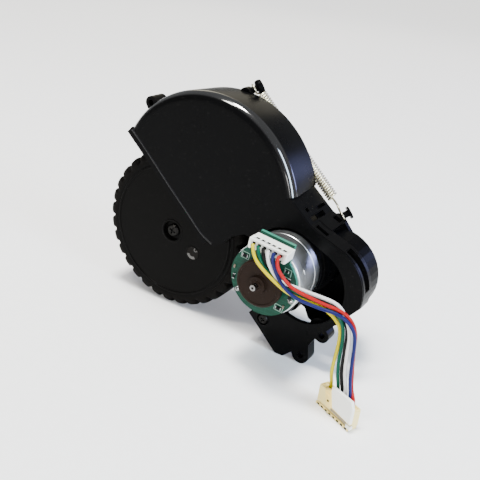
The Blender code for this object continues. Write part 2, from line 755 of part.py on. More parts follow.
def wheel_hub(look):
    floor_y = HUB_FACE + HUB_DISC
    far = WHEEL_FAR - 0.4
    profile = [(0, HUB_FACE), (HUB_R - 0.8, HUB_FACE), (HUB_R, HUB_FACE + 0.8), (HUB_R, far)]
    profile += [(HUB_R - HUB_RIM, far), (HUB_R - HUB_RIM, floor_y), (HUB_BOSS_R, floor_y)]
    profile += [(HUB_BOSS_R, far), (0, far)]
    solids = [turned(profile, WHEEL_CENTRE, 64)]
    for i in range(HUB_RIBS):
        angle = math.tau * (i + 0.5) / HUB_RIBS + DOWEL_ANGLE
        middle = (HUB_BOSS_R + HUB_R - HUB_RIM) / 2
        size = Vector((HUB_R - HUB_RIM - HUB_BOSS_R + 1.0, HUB_RIB_HIGH + 1.0, 1.6))
        at = in_space(around(WHEEL_CENTRE, middle, angle), floor_y + (HUB_RIB_HIGH - 1.0) / 2)
        solids.append(block(at, size, Matrix.Rotation(-angle, 3, "Y")))
    dowel = around(WHEEL_CENTRE, DOWEL_AT_R, DOWEL_ANGLE)
    solids.append(rod(dowel, floor_y - 0.5, floor_y + 6.0, DOWEL_R + 1.8, 20))
    cuts = [
        rod(WHEEL_CENTRE, HUB_FACE - 1.0, HUB_FACE + HUB_RECESS, HUB_RECESS_R, 28),
        rod(WHEEL_CENTRE, HUB_FACE, HUB_FACE + 4.0, 1.5, 16),
        rod(WHEEL_CENTRE, HUB_FACE + 3.2, far + 1.0, SHAFT_R + SEAT, 24),
        rod(dowel, HUB_FACE - 1.0, floor_y + 5.0, DOWEL_R + SEAT, 20),
    ]
    return shaped("wheel_hub", look, solids, cuts, in_space(WHEEL_CENTRE, HUB_FACE))


def compound_gear(name, look, at, large, small):
    """large and small are (teeth, module, phase, near, far). One moulding, turning on its pin."""
    solids = [gear_body(at, *large), gear_body(at, *small)]
    low = min(large[3], small[3])
    high = max(large[4], small[4])
    bore = pin_bore(at, low - 1.0, high + 1.0, PIN_R + RUNNING)
    return shaped(name, look, solids, [bore], in_space(at, low))


def gear_train(look, steel):
    turn = phases()
    (m0, z0, z1), (m1, z2, z3), (m2, z4, z5), (m3, z6, z7) = STAGES
    overlap = 0.5
    pinion = gear_body(MOTOR_AT, z0, m0, turn[0], LAYER_1, LAYER_1 + FACE)
    shaft_hole = rod(MOTOR_AT, LAYER_1 - 1, LAYER_1 + FACE + 1, MOTOR_SHAFT_R + 0.15, 16)
    shaped("motor_pinion", steel, [pinion], [shaft_hole], in_space(MOTOR_AT, LAYER_1))
    compound_gear(
        "gear_1",
        look,
        GEAR_1_AT,
        (z1, m0, turn[1], LAYER_1, LAYER_1 + FACE),
        (z2, m1, turn[2], LAYER_1 + FACE - overlap, LAYER_2 + FACE),
    )
    compound_gear(
        "gear_2",
        look,
        GEAR_2_AT,
        (z3, m1, turn[3], LAYER_2, LAYER_2 + FACE),
        (z4, m2, turn[4], LAYER_2 + FACE - overlap, LAYER_3 + FACE),
    )
    compound_gear(
        "gear_3",
        look,
        GEAR_3_AT,
        (z5, m2, turn[5], LAYER_3, LAYER_3 + FACE),
        (z6, m3, turn[6], LAYER_1, LAYER_3 + overlap),
    )
    last = gear_body(WHEEL_CENTRE, z7, m3, turn[7], LAYER_1, LAYER_2 + FACE)
    bore = rod(WHEEL_CENTRE, LAYER_1 - 1, LAYER_2 + FACE + 1, SHAFT_R + SEAT, 24)
    rims = []
    for i in range(6):
        hole = around(WHEEL_CENTRE, 11.0, math.tau * i / 6 + TRAIN)
        rims.append(rod(hole, LAYER_1 - 1, LAYER_2 + FACE + 1, 3.0, 14))
    shaped("output_gear", look, [last], [bore] + rims, in_space(WHEEL_CENTRE, LAYER_1))


def shafts(steel, bronze):
    shaft_near = HUB_FACE + 3.2 + SEAT
    tap = pin_bore(WHEEL_CENTRE, shaft_near - 1.0, shaft_near + 6.0, 1.5)
    flat = block(Vector((0.0, shaft_near + 5.0, SHAFT_R)), Vector((6.0, 12.0, 1.0)))
    bar = rod(WHEEL_CENTRE, shaft_near, COVER_FAR - 0.1, SHAFT_R, 24)
    shaped("output_shaft", steel, [bar], [tap, flat], in_space(WHEEL_CENTRE, shaft_near))
    inner = SHAFT_R + RUNNING
    outer = inner + BUSH_WALL
    near = CASE_Y - SEAT - 0.8
    profile = [(inner, near), (outer + 1.2, near), (outer + 1.2, near + 0.8), (outer, near + 0.8)]
    profile += [(outer, LAYER_1 - 0.2), (inner, LAYER_1 - 0.2)]
    shaped("output_bush", bronze, [turned(profile, WHEEL_CENTRE, 28)], (), in_space(WHEEL_CENTRE, near))
    for number, at in enumerate((GEAR_1_AT, GEAR_2_AT, GEAR_3_AT), 1):
        bar = rod(at, CASE_Y + 0.3, COVER_FAR - 0.9, PIN_R, 14)
        shaped(f"gear_pin_{number}", steel, [bar], (), in_space(at, CASE_Y))


def pivot(steel, bronze):
    near = 3.0 + SEAT
    far = CASE_SPLIT + 0.8
    taps = [pin_bore(PIVOT_AT, near - 1.0, near + 6.0, 1.3), pin_bore(PIVOT_AT, far - 6.0, far + 1.0, 1.3)]
    shaped("pivot_pin", steel, [rod(PIVOT_AT, near, far, PIVOT_R, 20)], taps, in_space(PIVOT_AT, near))
    inner = PIVOT_R + RUNNING
    profile = [(inner, CASE_Y - 0.6), (inner + BUSH_WALL + 1.0, CASE_Y - 0.6), (inner + BUSH_WALL + 1.0, CASE_Y - 0.3)]
    profile += [(inner + BUSH_WALL, CASE_Y - 0.3), (inner + BUSH_WALL, CASE_SPLIT + 0.4), (inner, CASE_SPLIT + 0.4)]
    shaped("pivot_bush", bronze, [turned(profile, PIVOT_AT, 24)], (), in_space(PIVOT_AT, CASE_Y))
    washer = [(1.5, far + SEAT), (4.4, far + SEAT), (4.4, far + SEAT + 0.8), (1.5, far + SEAT + 0.8)]
    shaped("pivot_washer", steel, [turned(washer, PIVOT_AT, 24)], (), in_space(PIVOT_AT, far))
    seat = far + 2 * SEAT + 0.8
    screw("pivot_screw_far", steel, PIVOT_AT, seat, seat + 1.6, seat - 5.5, 2.6, 1.0)
    screw("pivot_screw_near", steel, PIVOT_AT, -0.4, 0.9, 7.5, 2.2, 1.0)


def motor(looks):
    steel = looks["steel"]
    front = CASE_Y - SEAT
    can = [(0, front), (MOTOR_R - 1.2, front), (MOTOR_R, front - 1.2), (MOTOR_R, MOTOR_BACK)]
    can += [(MOTOR_R - CAN_WALL, MOTOR_BACK), (MOTOR_R - CAN_WALL, front - 1.2), (0, front - 1.2)]
    cuts = [pin_bore(at, front - 2.0, front + 1.0, 1.3) for at in arm_bolts()]
    cuts.append(rod(MOTOR_AT, front - 2.0, front + 1.0, MOTOR_SHAFT_R + SEAT, 16))
    shaped("motor_can", steel, [turned(can, MOTOR_AT, 48)], cuts, in_space(MOTOR_AT, front))
    inner_r = MOTOR_R - CAN_WALL - SEAT
    cap = [(MOTOR_SHAFT_R + SEAT, MOTOR_BACK - 1.4), (MOTOR_R - 0.6, MOTOR_BACK - 1.4), (MOTOR_R, MOTOR_BACK - 0.8)]
    cap += [(MOTOR_R, MOTOR_BACK - SEAT), (inner_r, MOTOR_BACK - SEAT), (inner_r, MOTOR_BACK + 3.0)]
    cap += [(MOTOR_SHAFT_R + SEAT, MOTOR_BACK + 3.0)]
    shaped("motor_end_cap", looks["black"], [turned(cap, MOTOR_AT, 40)], (), in_space(MOTOR_AT, MOTOR_BACK))
    magnet = [(MAGNET_BORE_R, -8.0), (inner_r, -8.0), (inner_r, 14.0), (MAGNET_BORE_R, 14.0)]
    shaped("motor_magnet", looks["magnet"], [turned(magnet, MOTOR_AT, 36)], (), in_space(MOTOR_AT, -8.0))
    armature(looks["copper"])
    bar = rod(MOTOR_AT, TIP_Y, LAYER_1 + FACE - 0.1, MOTOR_SHAFT_R, 16)
    shaped("motor_shaft", steel, [bar], (), in_space(MOTOR_AT, TIP_Y))
    for number, at in enumerate(arm_bolts(), 1):
        screw(f"motor_screw_{number}", steel, at, CASE_Y + 1.0, CASE_Y + 1.8, front - 3.0, 2.2, 0.95)


def armature(look):
    """Wound three-pole armature and commutator on the motor's shaft."""
    bore_r = MOTOR_SHAFT_R + 0.15
    outline = []
    for pole in range(3):
        middle = math.tau * pole / 3
        outline += arc(MOTOR_AT, MAGNET_BORE_R - 0.5, middle - 0.78, middle + 0.78, 8)
        outline += arc(MOTOR_AT, MAGNET_BORE_R / 2, middle + 0.92, middle + math.tau / 3 - 0.92, 2)
    solids = [prism(outline, -7.0, 13.0), rod(MOTOR_AT, -10.0, 15.0, MAGNET_BORE_R * 0.44, 24)]
    bore = rod(MOTOR_AT, -11.0, 16.0, bore_r, 16)
    shaped("motor_armature", look, solids, [bore], in_space(MOTOR_AT, -7.0))


BOARD_FAR = MOTOR_BACK - 1.4 - SEAT
BOARD_NEAR = BOARD_FAR - BOARD_THICK
TILT_X = Vector((math.cos(BOARD_TILT), math.sin(BOARD_TILT)))
TILT_Z = Vector((-math.sin(BOARD_TILT), math.cos(BOARD_TILT)))
PLUG_AT = MOTOR_AT + TILT_Z * PLUG_REACH + TILT_X * PLUG_SIDE


def tilted_box(reach, y_near, y_far, wide, high):
    """Box on the board, reach above the motor's axis and as far aside as the plug."""
    middle = MOTOR_AT + TILT_Z * reach + TILT_X * PLUG_SIDE
    corners = ((-1, -1), (1, -1), (1, 1), (-1, 1))
    outline = [middle + TILT_X * (a * wide / 2) + TILT_Z * (b * high / 2) for a, b in corners]
    return prism(outline, y_near, y_far)


def encoder(looks):
    board = prism(circle(MOTOR_AT, BOARD_R, 48), BOARD_NEAR, BOARD_FAR)
    tab = tilted_box(12.4, BOARD_NEAR, BOARD_FAR, PLUG_WIDTH - 1.6, 12.8)
    hole = rod(MOTOR_AT, BOARD_NEAR - 1, BOARD_FAR + 1, MOTOR_SHAFT_R + 0.6, 20)
    shaped("encoder_board", looks["board"], [board, tab], [hole], in_space(MOTOR_AT, BOARD_NEAR))
    bore_r = MOTOR_SHAFT_R + 0.15
    disc = [(bore_r, ENCODER_Y + 2.0), (ENCODER_R, ENCODER_Y + 2.0), (ENCODER_R, ENCODER_Y + 0.3)]
    disc += [(ENCODER_R - 0.3, ENCODER_Y), (3.6, ENCODER_Y), (3.4, ENCODER_Y - 1.6), (bore_r, ENCODER_Y - 1.6)]
    shaped("encoder_disc", looks["encoder"], [turned(disc, MOTOR_AT, 40)], (), in_space(MOTOR_AT, ENCODER_Y))
    sensor_at = around(MOTOR_AT, 7.0, math.radians(250.0))
    chip = block(in_space(sensor_at, BOARD_NEAR - 0.3 - 0.4), Vector((3.0, 0.8, 2.6)))
    shaped("hall_sensor", looks["black"], [chip], (), in_space(sensor_at, BOARD_NEAR))


HEADER_NEAR = BOARD_NEAR - SEAT - 2.2
PLUG_FAR = HEADER_NEAR - SEAT
PLUG_NEAR = PLUG_FAR - 3.6


def plug_positions():
    """Wire exits on the plug's near face, left to right."""
    starts = []
    for i in range(WAYS):
        flat = PLUG_AT + TILT_X * ((i - (WAYS - 1) / 2) * PITCH - 0.35) + TILT_Z * 0.1
        starts.append(in_space(flat, PLUG_NEAR - SEAT))
    return starts


def board_connector(looks):
    base = tilted_box(PLUG_REACH, HEADER_NEAR, BOARD_NEAR - SEAT, PLUG_WIDTH - 1.2, PLUG_HIGH)
    shaped("board_header", looks["cream"], [base], (), in_space(PLUG_AT, HEADER_NEAR))
    body = tilted_box(PLUG_REACH, PLUG_NEAR, PLUG_FAR, PLUG_WIDTH, PLUG_HIGH)
    windows = []
    for start in plug_positions():
        at = Vector((start.x, (PLUG_NEAR + PLUG_FAR) / 2, start.z)) + in_space(TILT_Z, 0.0) * 2.0
        windows.append(block(at, Vector((1.1, 1.8, 1.6))))
    shaped("motor_plug", looks["white"], [body], windows, in_space(PLUG_AT, PLUG_NEAR))


def end_positions():
    """Wire entries on top of the lead's end plug, left to right."""
    back = Vector((-END_ROW.y, END_ROW.x, 0.0)) * (END_THICK / 2)
    top = Vector((0.0, 0.0, END_HIGH + SEAT))
    entries = []
    for i in range(WAYS):
        along = END_ROW * ((i - (WAYS - 1) / 2) * END_PITCH * 1.12)
        entries.append(END_AT + back + along + top)
    return entries


def end_plug(look):
    back = Vector((-END_ROW.y, END_ROW.x, 0.0))
    turn = Matrix.Rotation(math.atan2(END_ROW.y, END_ROW.x), 3, "Z")
    middle = END_AT + back * (END_THICK / 2)
    lift = Vector((0.0, 0.0, 1.0))
    body = block(middle + lift * (END_HIGH / 2), Vector((END_WIDTH, END_THICK, END_HIGH)), turn)
    key = block(middle + lift * 5.4 - back * 2.6 - END_ROW * 6.4, Vector((4.2, 1.6, 5.0)), turn)
    cuts = []
    for i in range(END_WAYS):
        along = END_ROW * ((i - (END_WAYS - 1) / 2) * END_PITCH)
        cuts.append(block(middle + along, Vector((0.9, 0.9, 7.0)), turn))
    groove = middle + lift * 2.0 - back * (END_THICK / 2) + END_ROW * 2.6
    cuts.append(block(groove, Vector((10.0, 1.0, 1.0)), turn))
    shaped("lead_end_plug", look, [body, key], cuts, END_AT)


# Wires in the order of the plug, each with its material
WIRES = (
    ("wire_yellow", "yellow"),
    ("wire_green", "green"),
    ("wire_black", "black_wire"),
    ("wire_white", "white_wire"),
    ("wire_blue", "blue"),
    ("wire_red", "red"),
)

# Where the wires lie across the bundle, back and up, at each stage of their way
FAN = ((0.8, -5.9), (0.8, -3.5), (0.8, -1.2), (0.8, 1.2), (-0.8, 3.5), (-0.8, 5.9))
HALF_FAN = ((0.8, -3.6), (0.8, -1.9), (0.8, -0.2), (0.8, 1.6), (-0.8, 0.5), (-0.8, 2.3))
CLOSED = ((0.8, -1.7), (0.8, 0.0), (1.1, 1.7), (0.2, 3.3), (-0.8, -1.6), (-0.8, 0.1))
LEVEL = ((0.8, -1.6), (0.8, 0.0), (1.0, 1.7), (-0.5, 1.7), (-0.8, -1.6), (-0.8, 0.0))
SPREAD = ((4.0, -1.6), (2.4, 0.0), (0.8, 1.6), (-0.8, 1.6), (-2.4, -1.6), (-4.0, 0.0))
ROW = ((4.0, 0.0), (2.4, 0.0), (0.8, 0.0), (-0.8, 0.0), (-2.4, 0.0), (-4.0, 0.0))

# Middle of the bundle at hand-chosen points, its heading and twist in degrees, and its stage
BUNDLE = (
    (Vector((58.8, -28.0, 16.6)), -84.0, 0.0, FAN),
    (Vector((61.6, -27.2, 11.6)), -48.0, 0.0, HALF_FAN),
    (Vector((66.6, -25.8, 8.6)), -16.0, 0.0, CLOSED),
    (Vector((73.6, -24.0, 7.2)), -4.0, 0.0, LEVEL),
    (Vector((81.0, -22.8, 6.8)), -6.0, 0.0, LEVEL),
    (Vector((87.4, -22.2, 5.4)), -22.0, 12.0, LEVEL),
    (Vector((91.8, -21.9, 0.6)), -62.0, 40.0, SPREAD),
    (Vector((93.4, -21.8, -7.0)), -86.0, 63.3, ROW),
    (Vector((94.6, -21.4, -17.0)), -90.0, 63.3, ROW),
)


def smooth_route(points, spacing):
    """Even points along a smooth curve through the route's own points."""
    padded = [points[0] * 2 - points[1]] + list(points) + [points[-1] * 2 - points[-2]]
    fine = []
    for a, b, c, d in zip(padded, padded[1:], padded[2:], padded[3:]):
        for i in range(16):
            t = i / 16
            fine.append(
                0.5 * ((2 * b) + (c - a) * t + (2 * a - 5 * b + 4 * c - d) * t ** 2 + (3 * b - a - 3 * c + d) * t ** 3)
            )
    fine.append(points[-1])
    lengths = [0.0]
    for p, q in zip(fine, fine[1:]):
        lengths.append(lengths[-1] + (q - p).length)
    count = max(int(lengths[-1] / spacing), 4)
    even = []
    k = 0
    for i in range(count + 1):
        want = lengths[-1] * i / count
        while k < len(lengths) - 2 and lengths[k + 1] < want:
            k += 1
        span = lengths[k + 1] - lengths[k]
        even.append(fine[k].lerp(fine[k + 1], (want - lengths[k]) / span))
    return even


def wire_route(index):
    start = plug_positions()[index]
    end = end_positions()[index]
    route = [start, start + Vector((0.0, -2.4, -0.5))]
    for middle, heading, twist, stage in BUNDLE:
        back, up = stage[index]
        heading, twist = math.radians(heading), math.radians(twist)
        rise = Vector((-math.sin(heading), 0.0, math.cos(heading)))
        behind = DEPTH * math.cos(twist) - rise * math.sin(twist)
        above = rise * math.cos(twist) + DEPTH * math.sin(twist)
        route.append(middle + behind * back + above * up)
    return route + [end + Vector((0.0, 0.0, 2.5)), end]


def wires(looks):
    for index, (name, look) in enumerate(WIRES):
        line = bpy.data.curves.new(name, "CURVE")
        line.dimensions = "3D"
        line.bevel_depth = WIRE_R * MM
        line.bevel_resolution = 2
        line.use_fill_caps = True
        points = smooth_route(wire_route(index), 2 * 2 * WIRE_R)
        run = line.splines.new("POLY")
        run.points.add(len(points) - 1)
        for spot, point in zip(run.points, points):
            spot.co = (*(point * MM), 1.0)
        line.materials.append(looks[look])
        thing = bpy.data.objects.new(name, line)
        bpy.context.scene.collection.objects.link(thing)


def spring(look):
    """Close-wound spring as its outside, with a round hook at each post."""
    line = (SPRING_LOW - SPRING_TOP).normalized()
    top = SPRING_TOP + line * 5.4
    low = SPRING_LOW - line * 8.0
    solids = [tube_between(top, low, SPRING_R, 20)]
    for post, neck, way in ((SPRING_TOP, top, 1.0), (SPRING_LOW, low, -1.0)):
        side = POST_AXIS.cross(line).normalized()
        reach = (line - POST_AXIS * line.dot(POST_AXIS)).normalized() * way
        loop_r = POST_R + SEAT + SPRING_WIRE_R
        points = []
        for i in range(15):
            angle = math.radians(80.0 + 280.0 * i / 14)
            points.append(post + (reach * math.cos(angle) + side * math.sin(angle)) * loop_r)
        points.append(neck + line * way * 0.6)
        solids.append(sweep(points, SPRING_WIRE_R, 8))
    shaped("suspension_spring", look, solids, (), SPRING_TOP)


def place_in_frame():
    """Hangs every piece on one empty that moves the wheel's centre to its place."""
    root = bpy.data.objects.new("module", None)
    root.location = WHEEL_AT * MM
    bpy.context.scene.collection.objects.link(root)
    for thing in bpy.data.objects:
        if thing is not root:
            thing.parent = root


def main():
    clear_scene()
    looks = make_materials()
    wheel_housing(looks["black"])
    case_inner(looks["black"])
    case_outer(looks["black"])
    wheel_hub(looks["hub"])
    tyre(looks["tyre"])
    dowel = around(WHEEL_CENTRE, DOWEL_AT_R, DOWEL_ANGLE)
    bar = rod(dowel, HUB_FACE + 0.4, HUB_FACE + HUB_DISC + 4.7, DOWEL_R, 20)
    shaped("hub_dowel", looks["steel"], [bar], (), in_space(dowel, HUB_FACE))
    screw("axle_screw", looks["steel"], WHEEL_CENTRE, HUB_FACE + 0.1, HUB_FACE + 1.3, HUB_FACE + 8.0, 2.8, 1.2)
    gear_train(looks["gear"], looks["steel"])
    shafts(looks["steel"], looks["bronze"])
    pivot(looks["steel"], looks["bronze"])
    motor(looks)
    encoder(looks)
    board_connector(looks)
    end_plug(looks["cream"])
    wires(looks)
    spring(looks["steel"])
    for number, ear in enumerate(case_ears(), 1):
        head = COVER_FAR - 2.1 + SEAT
        screw(f"case_screw_{number}", looks["steel"], ear, head, head + 1.4, CASE_Y + 2.5, 2.4, 0.7)
    place_in_frame()


main()
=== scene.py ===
"""Looks of a robot vacuum's drive wheel module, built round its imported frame.

The scene is drawn in millimetres in the wheel's own axes: x along the wheel, y along the axle from the
near wall of the housing, z up, and the wheel's centre at x = 0, z = 0. A flat point holds x and z.
"""
import math

import bmesh
import bpy
from bpy.props import FloatProperty, FloatVectorProperty, IntProperty, PointerProperty
from mathutils import Matrix, Vector


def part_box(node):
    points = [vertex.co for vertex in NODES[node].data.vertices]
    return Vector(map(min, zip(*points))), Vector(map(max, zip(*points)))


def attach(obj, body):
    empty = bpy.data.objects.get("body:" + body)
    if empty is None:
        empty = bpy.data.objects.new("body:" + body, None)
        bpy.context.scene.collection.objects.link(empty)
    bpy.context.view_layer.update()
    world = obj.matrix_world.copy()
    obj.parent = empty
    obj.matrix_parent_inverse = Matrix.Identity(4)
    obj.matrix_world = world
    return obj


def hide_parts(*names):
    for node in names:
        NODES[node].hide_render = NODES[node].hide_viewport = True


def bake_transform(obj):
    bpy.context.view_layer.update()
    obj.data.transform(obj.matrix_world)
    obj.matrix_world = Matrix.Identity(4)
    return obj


bl_info = {
    "name": "Robot vacuum drive wheel module",
    "version": (1, 0, 0),
    "blender": (4, 5, 0),
    "location": "View3D > Sidebar > Drive Wheel",
    "description": "Builds the finished look of a sprung drive wheel module round its solid frame",
    "category": "Object",
}

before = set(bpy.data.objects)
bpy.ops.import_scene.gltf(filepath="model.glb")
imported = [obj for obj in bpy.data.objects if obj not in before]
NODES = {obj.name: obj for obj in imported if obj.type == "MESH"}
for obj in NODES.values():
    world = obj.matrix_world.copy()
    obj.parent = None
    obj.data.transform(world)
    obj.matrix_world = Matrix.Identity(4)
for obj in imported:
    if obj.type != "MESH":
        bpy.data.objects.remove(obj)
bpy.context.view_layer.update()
MM = 0.001
UP = Vector((0.0, 0.0, 1.0))

# The wheel's centre and the near wall of the housing, in millimetres of the frame
TYRE_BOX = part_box("tyre")
WHEEL_AT = Vector((
    (TYRE_BOX[0].x + TYRE_BOX[1].x) / 2,
    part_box("wheel_housing")[0].y,
    (TYRE_BOX[0].z + TYRE_BOX[1].z) / 2,
)) / MM


def near_of(node):
    """Depth of a node's near side."""
    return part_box(node)[0].y / MM - WHEEL_AT.y


def far_of(node):
    """Depth of a node's far side."""
    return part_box(node)[1].y / MM - WHEEL_AT.y


# Wheel
WHEEL_AXIS = Vector((0.0, 0.0))
TYRE_R = (TYRE_BOX[1].z - TYRE_BOX[0].z) / 2 / MM
TYRE_NEAR = near_of("tyre")
TYRE_FAR = far_of("tyre")
HUB_FACE = near_of("wheel_hub")
DOWEL_AT = Vector((11.3, -6.8))

# Motor, and the board that leans on its rear
CAN_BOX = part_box("motor_can")
MOTOR_AT = Vector((
    (CAN_BOX[0].x + CAN_BOX[1].x) / 2 / MM - WHEEL_AT.x,
    (CAN_BOX[0].z + CAN_BOX[1].z) / 2 / MM - WHEEL_AT.z,
))
MOTOR_R = (CAN_BOX[1].z - CAN_BOX[0].z) / 2 / MM
CAN_REAR = near_of("motor_can")
BOARD_NEAR = near_of("encoder_board")
DISC_NEAR = near_of("encoder_disc")
SHAFT_TIP = near_of("motor_shaft")
BOARD_TILT = math.radians(-6.5)
TILT_X = Vector((math.cos(BOARD_TILT), math.sin(BOARD_TILT)))
TILT_Z = Vector((-math.sin(BOARD_TILT), math.cos(BOARD_TILT)))
BOARD_TURN = Matrix.Rotation(-BOARD_TILT, 3, "Y")

# Six-way plug on the board, measured from the motor's axis along the tilted board and up it
PLUG_NEAR = near_of("motor_plug")
PLUG_FAR = far_of("motor_plug")
PLUG_WAYS = 6
PLUG_PITCH = 2.24
PLUG_SKEW = 0.35
PLUG_CENTRE = 1.1
PLUG_WIDTH = 15.8
PLUG_LOW, PLUG_HIGH = 13.6, 17.8
PLUG_MIDDLE = 15.8

# Eight-way plug on the far end of the lead
END_AT = Vector((94.45, -23.3, -35.0))
END_ROW = Vector((0.893, -0.449, 0.0)).normalized()
END_BACK = Vector((-END_ROW.y, END_ROW.x, 0.0))
END_WAYS = 8
END_PITCH = 2.24
END_WIDTH, END_THICK = 18.6, 5.0
END_NEAR = -END_THICK / 2

# Middle of each wire, from the plug on the board to the far plug. The points are worked out and not chosen
# one by one: they follow the wires in the picture at even steps, moved apart where two wires would meet
LEAD_ROUTES = {
    "yellow": (
        (53.4, -25.0, 21.1), (53.8, -25.8, 21.2), (54.6, -26.4, 19.2), (56.7, -27.3, 16.7),
        (59.6, -28.0, 15.1), (62.6, -28.4, 13.5), (65.5, -28.2, 11.9), (68.1, -27.3, 9.9),
        (70.8, -26.2, 8.2), (73.9, -25.2, 7.4), (77.1, -24.4, 6.8), (80.3, -23.5, 6.4),
        (83.5, -22.7, 5.8), (86.5, -22.4, 4.3), (89.2, -22.3, 2.3), (90.3, -21.3, -0.7),
        (90.6, -21.2, -4.0), (90.7, -21.1, -7.3), (90.5, -21.2, -10.6), (90.4, -21.3, -13.9),
        (90.3, -21.4, -17.2), (90.5, -21.3, -20.4), (90.3, -19.2, -22.9), (90.1, -18.1, -25.0),
        (90.2, -18.3, -26.7),
    ),
    "green": (
        (55.6, -25.0, 20.9), (56.0, -25.7, 21.2), (56.8, -26.9, 20.6), (57.9, -26.7, 17.4),
        (60.1, -26.7, 14.8), (62.6, -26.4, 12.7), (65.2, -25.7, 10.7), (68.1, -25.1, 9.1),
        (71.2, -24.4, 8.1), (74.5, -23.6, 7.7), (77.7, -22.9, 7.4), (81.0, -22.1, 7.1),
        (84.3, -21.9, 6.7), (87.5, -22.1, 5.7), (90.2, -22.4, 3.7), (91.4, -21.8, 0.7),
        (91.8, -21.6, -2.7), (92.1, -21.5, -6.1), (92.0, -21.5, -9.4), (92.1, -21.5, -12.8),
        (92.5, -21.5, -16.1), (93.0, -21.6, -19.4), (93.5, -20.6, -22.6), (93.8, -20.0, -25.0),
        (93.8, -20.2, -26.7),
    ),
    "black": (
        (57.8, -25.0, 20.6), (58.2, -25.7, 20.8), (59.0, -27.3, 20.2), (60.0, -26.6, 17.1),
        (61.7, -25.6, 14.4), (63.7, -24.6, 11.9), (66.4, -24.0, 10.0), (69.2, -23.3, 8.5),
        (72.5, -22.6, 8.0), (75.8, -21.9, 7.8), (79.0, -21.2, 7.5), (82.3, -20.6, 7.2),
        (85.6, -20.4, 6.6), (88.7, -20.7, 5.4), (91.3, -21.2, 3.4), (92.8, -21.3, 0.4),
        (93.2, -21.4, -2.8), (93.4, -21.5, -6.1), (93.5, -21.5, -9.4), (93.6, -21.5, -12.8),
        (93.9, -21.6, -16.1), (94.5, -21.6, -19.4), (95.4, -21.3, -22.6), (95.8, -21.1, -25.0),
        (95.7, -21.1, -26.7),
    ),
    "white": (
        (60.0, -25.0, 20.4), (60.3, -25.7, 20.8), (61.0, -28.0, 21.8), (61.6, -28.0, 18.6),
        (63.3, -27.6, 15.6), (65.1, -26.9, 12.8), (67.6, -25.9, 11.1), (70.9, -25.6, 11.2),
        (74.2, -25.0, 10.9), (77.5, -24.3, 10.4), (80.9, -23.6, 10.1), (84.2, -22.9, 9.7),
        (87.5, -22.1, 9.0), (90.1, -21.8, 7.0), (92.2, -22.1, 4.3), (93.6, -22.0, 1.2),
        (94.5, -22.0, -2.1), (94.6, -22.0, -5.5), (94.8, -22.0, -9.0), (95.0, -21.9, -12.4),
        (95.3, -21.8, -15.9), (96.0, -21.8, -19.3), (97.2, -22.1, -22.5), (97.8, -22.2, -25.0),
        (97.7, -22.1, -26.7),
    ),
    "blue": (
        (62.3, -25.0, 20.1), (62.5, -25.7, 20.6), (63.1, -27.8, 21.9), (63.4, -27.9, 18.8),
        (64.9, -27.8, 15.8), (66.8, -27.8, 13.0), (69.3, -27.8, 10.8), (72.1, -27.5, 8.9),
        (75.2, -26.8, 7.7), (78.4, -26.0, 7.1), (81.7, -25.3, 6.7), (85.0, -24.6, 6.4),
        (88.4, -24.2, 6.4), (91.6, -23.7, 5.5), (94.2, -23.1, 3.5), (96.0, -22.5, 0.7),
        (96.7, -22.3, -2.6), (96.9, -22.1, -6.0), (97.1, -22.0, -9.4), (97.3, -22.0, -12.8),
        (97.6, -21.9, -16.2), (98.0, -21.9, -19.6), (99.1, -22.7, -22.6), (99.7, -23.1, -25.0),
        (99.6, -23.1, -26.7),
    ),
    "red": (
        (64.5, -25.0, 19.9), (64.7, -25.8, 20.3), (65.5, -28.0, 21.5), (65.2, -28.3, 18.8),
        (67.1, -28.5, 15.9), (69.6, -28.0, 13.5), (70.8, -27.6, 12.1), (73.9, -26.8, 10.7),
        (77.2, -26.0, 9.8), (80.6, -25.1, 8.9), (84.0, -24.4, 8.2), (87.4, -23.6, 7.8),
        (90.8, -22.9, 7.1), (93.6, -22.2, 5.1), (95.4, -21.4, 2.1), (96.2, -21.0, -1.4),
        (96.4, -20.7, -4.9), (96.7, -20.6, -8.5), (97.1, -20.6, -12.0), (97.6, -20.6, -15.5),
        (98.1, -20.5, -19.0), (98.5, -20.3, -22.5), (100.6, -22.9, -23.7), (101.8, -24.4, -24.9),
        (101.5, -24.1, -26.7),
    ),
}

# Radius of a wire, and spacing and easing of its route
WIRE_R = 0.65
ROUTE_STEP = 0.8
ROUTE_EASE = 10

# Spring from the fender's post to the arm's post, with its coil between two distances from the fender's
SPRING_TOP = Vector((19.6, 26.0, 63.4))
SPRING_LOW = Vector((67.1, 26.0, 22.1))
SPRING_LINE = (SPRING_LOW - SPRING_TOP).normalized()
COIL_FROM, COIL_TO = 3.2, 54.4
POST_AXIS = Vector((0.62, 0.59, 0.52)).normalized()
POST_R = 1.4
HOOK_GAP = 0.65
HOOK_SINK = 1.2

# Fender's arch, with the radius of its rounded near corner
FENDER_AT = Vector((14.0, 20.8))
FENDER_R = 42.5
FENDER_CORNER = 4.0
FENDER_FAR_R = 41.2
FENDER_DEPTH = 23.0
FENDER_START = math.radians(153.5)
FENDER_END = math.radians(15.6)
FENDER_POLISH = 1.7

# Slanted skirt of the housing, from the arch down
SKIRT_START = Vector((53.7, 31.9))
SKIRT_END = Vector((63.6, 24.0))

# Line along the slanted edge of the housing's near wall, over the wheel, with the bead on it
CUT_LINE = (
    Vector((-22.4, 40.0)), Vector((-14.4, 33.0)), Vector((-1.3, 20.9)),
    Vector((8.9, 11.9)), Vector((16.1, 5.5)), Vector((22.0, 2.2)),
)
CUT_BEAD_R = 0.4
CUT_BEAD_Y = 0.15

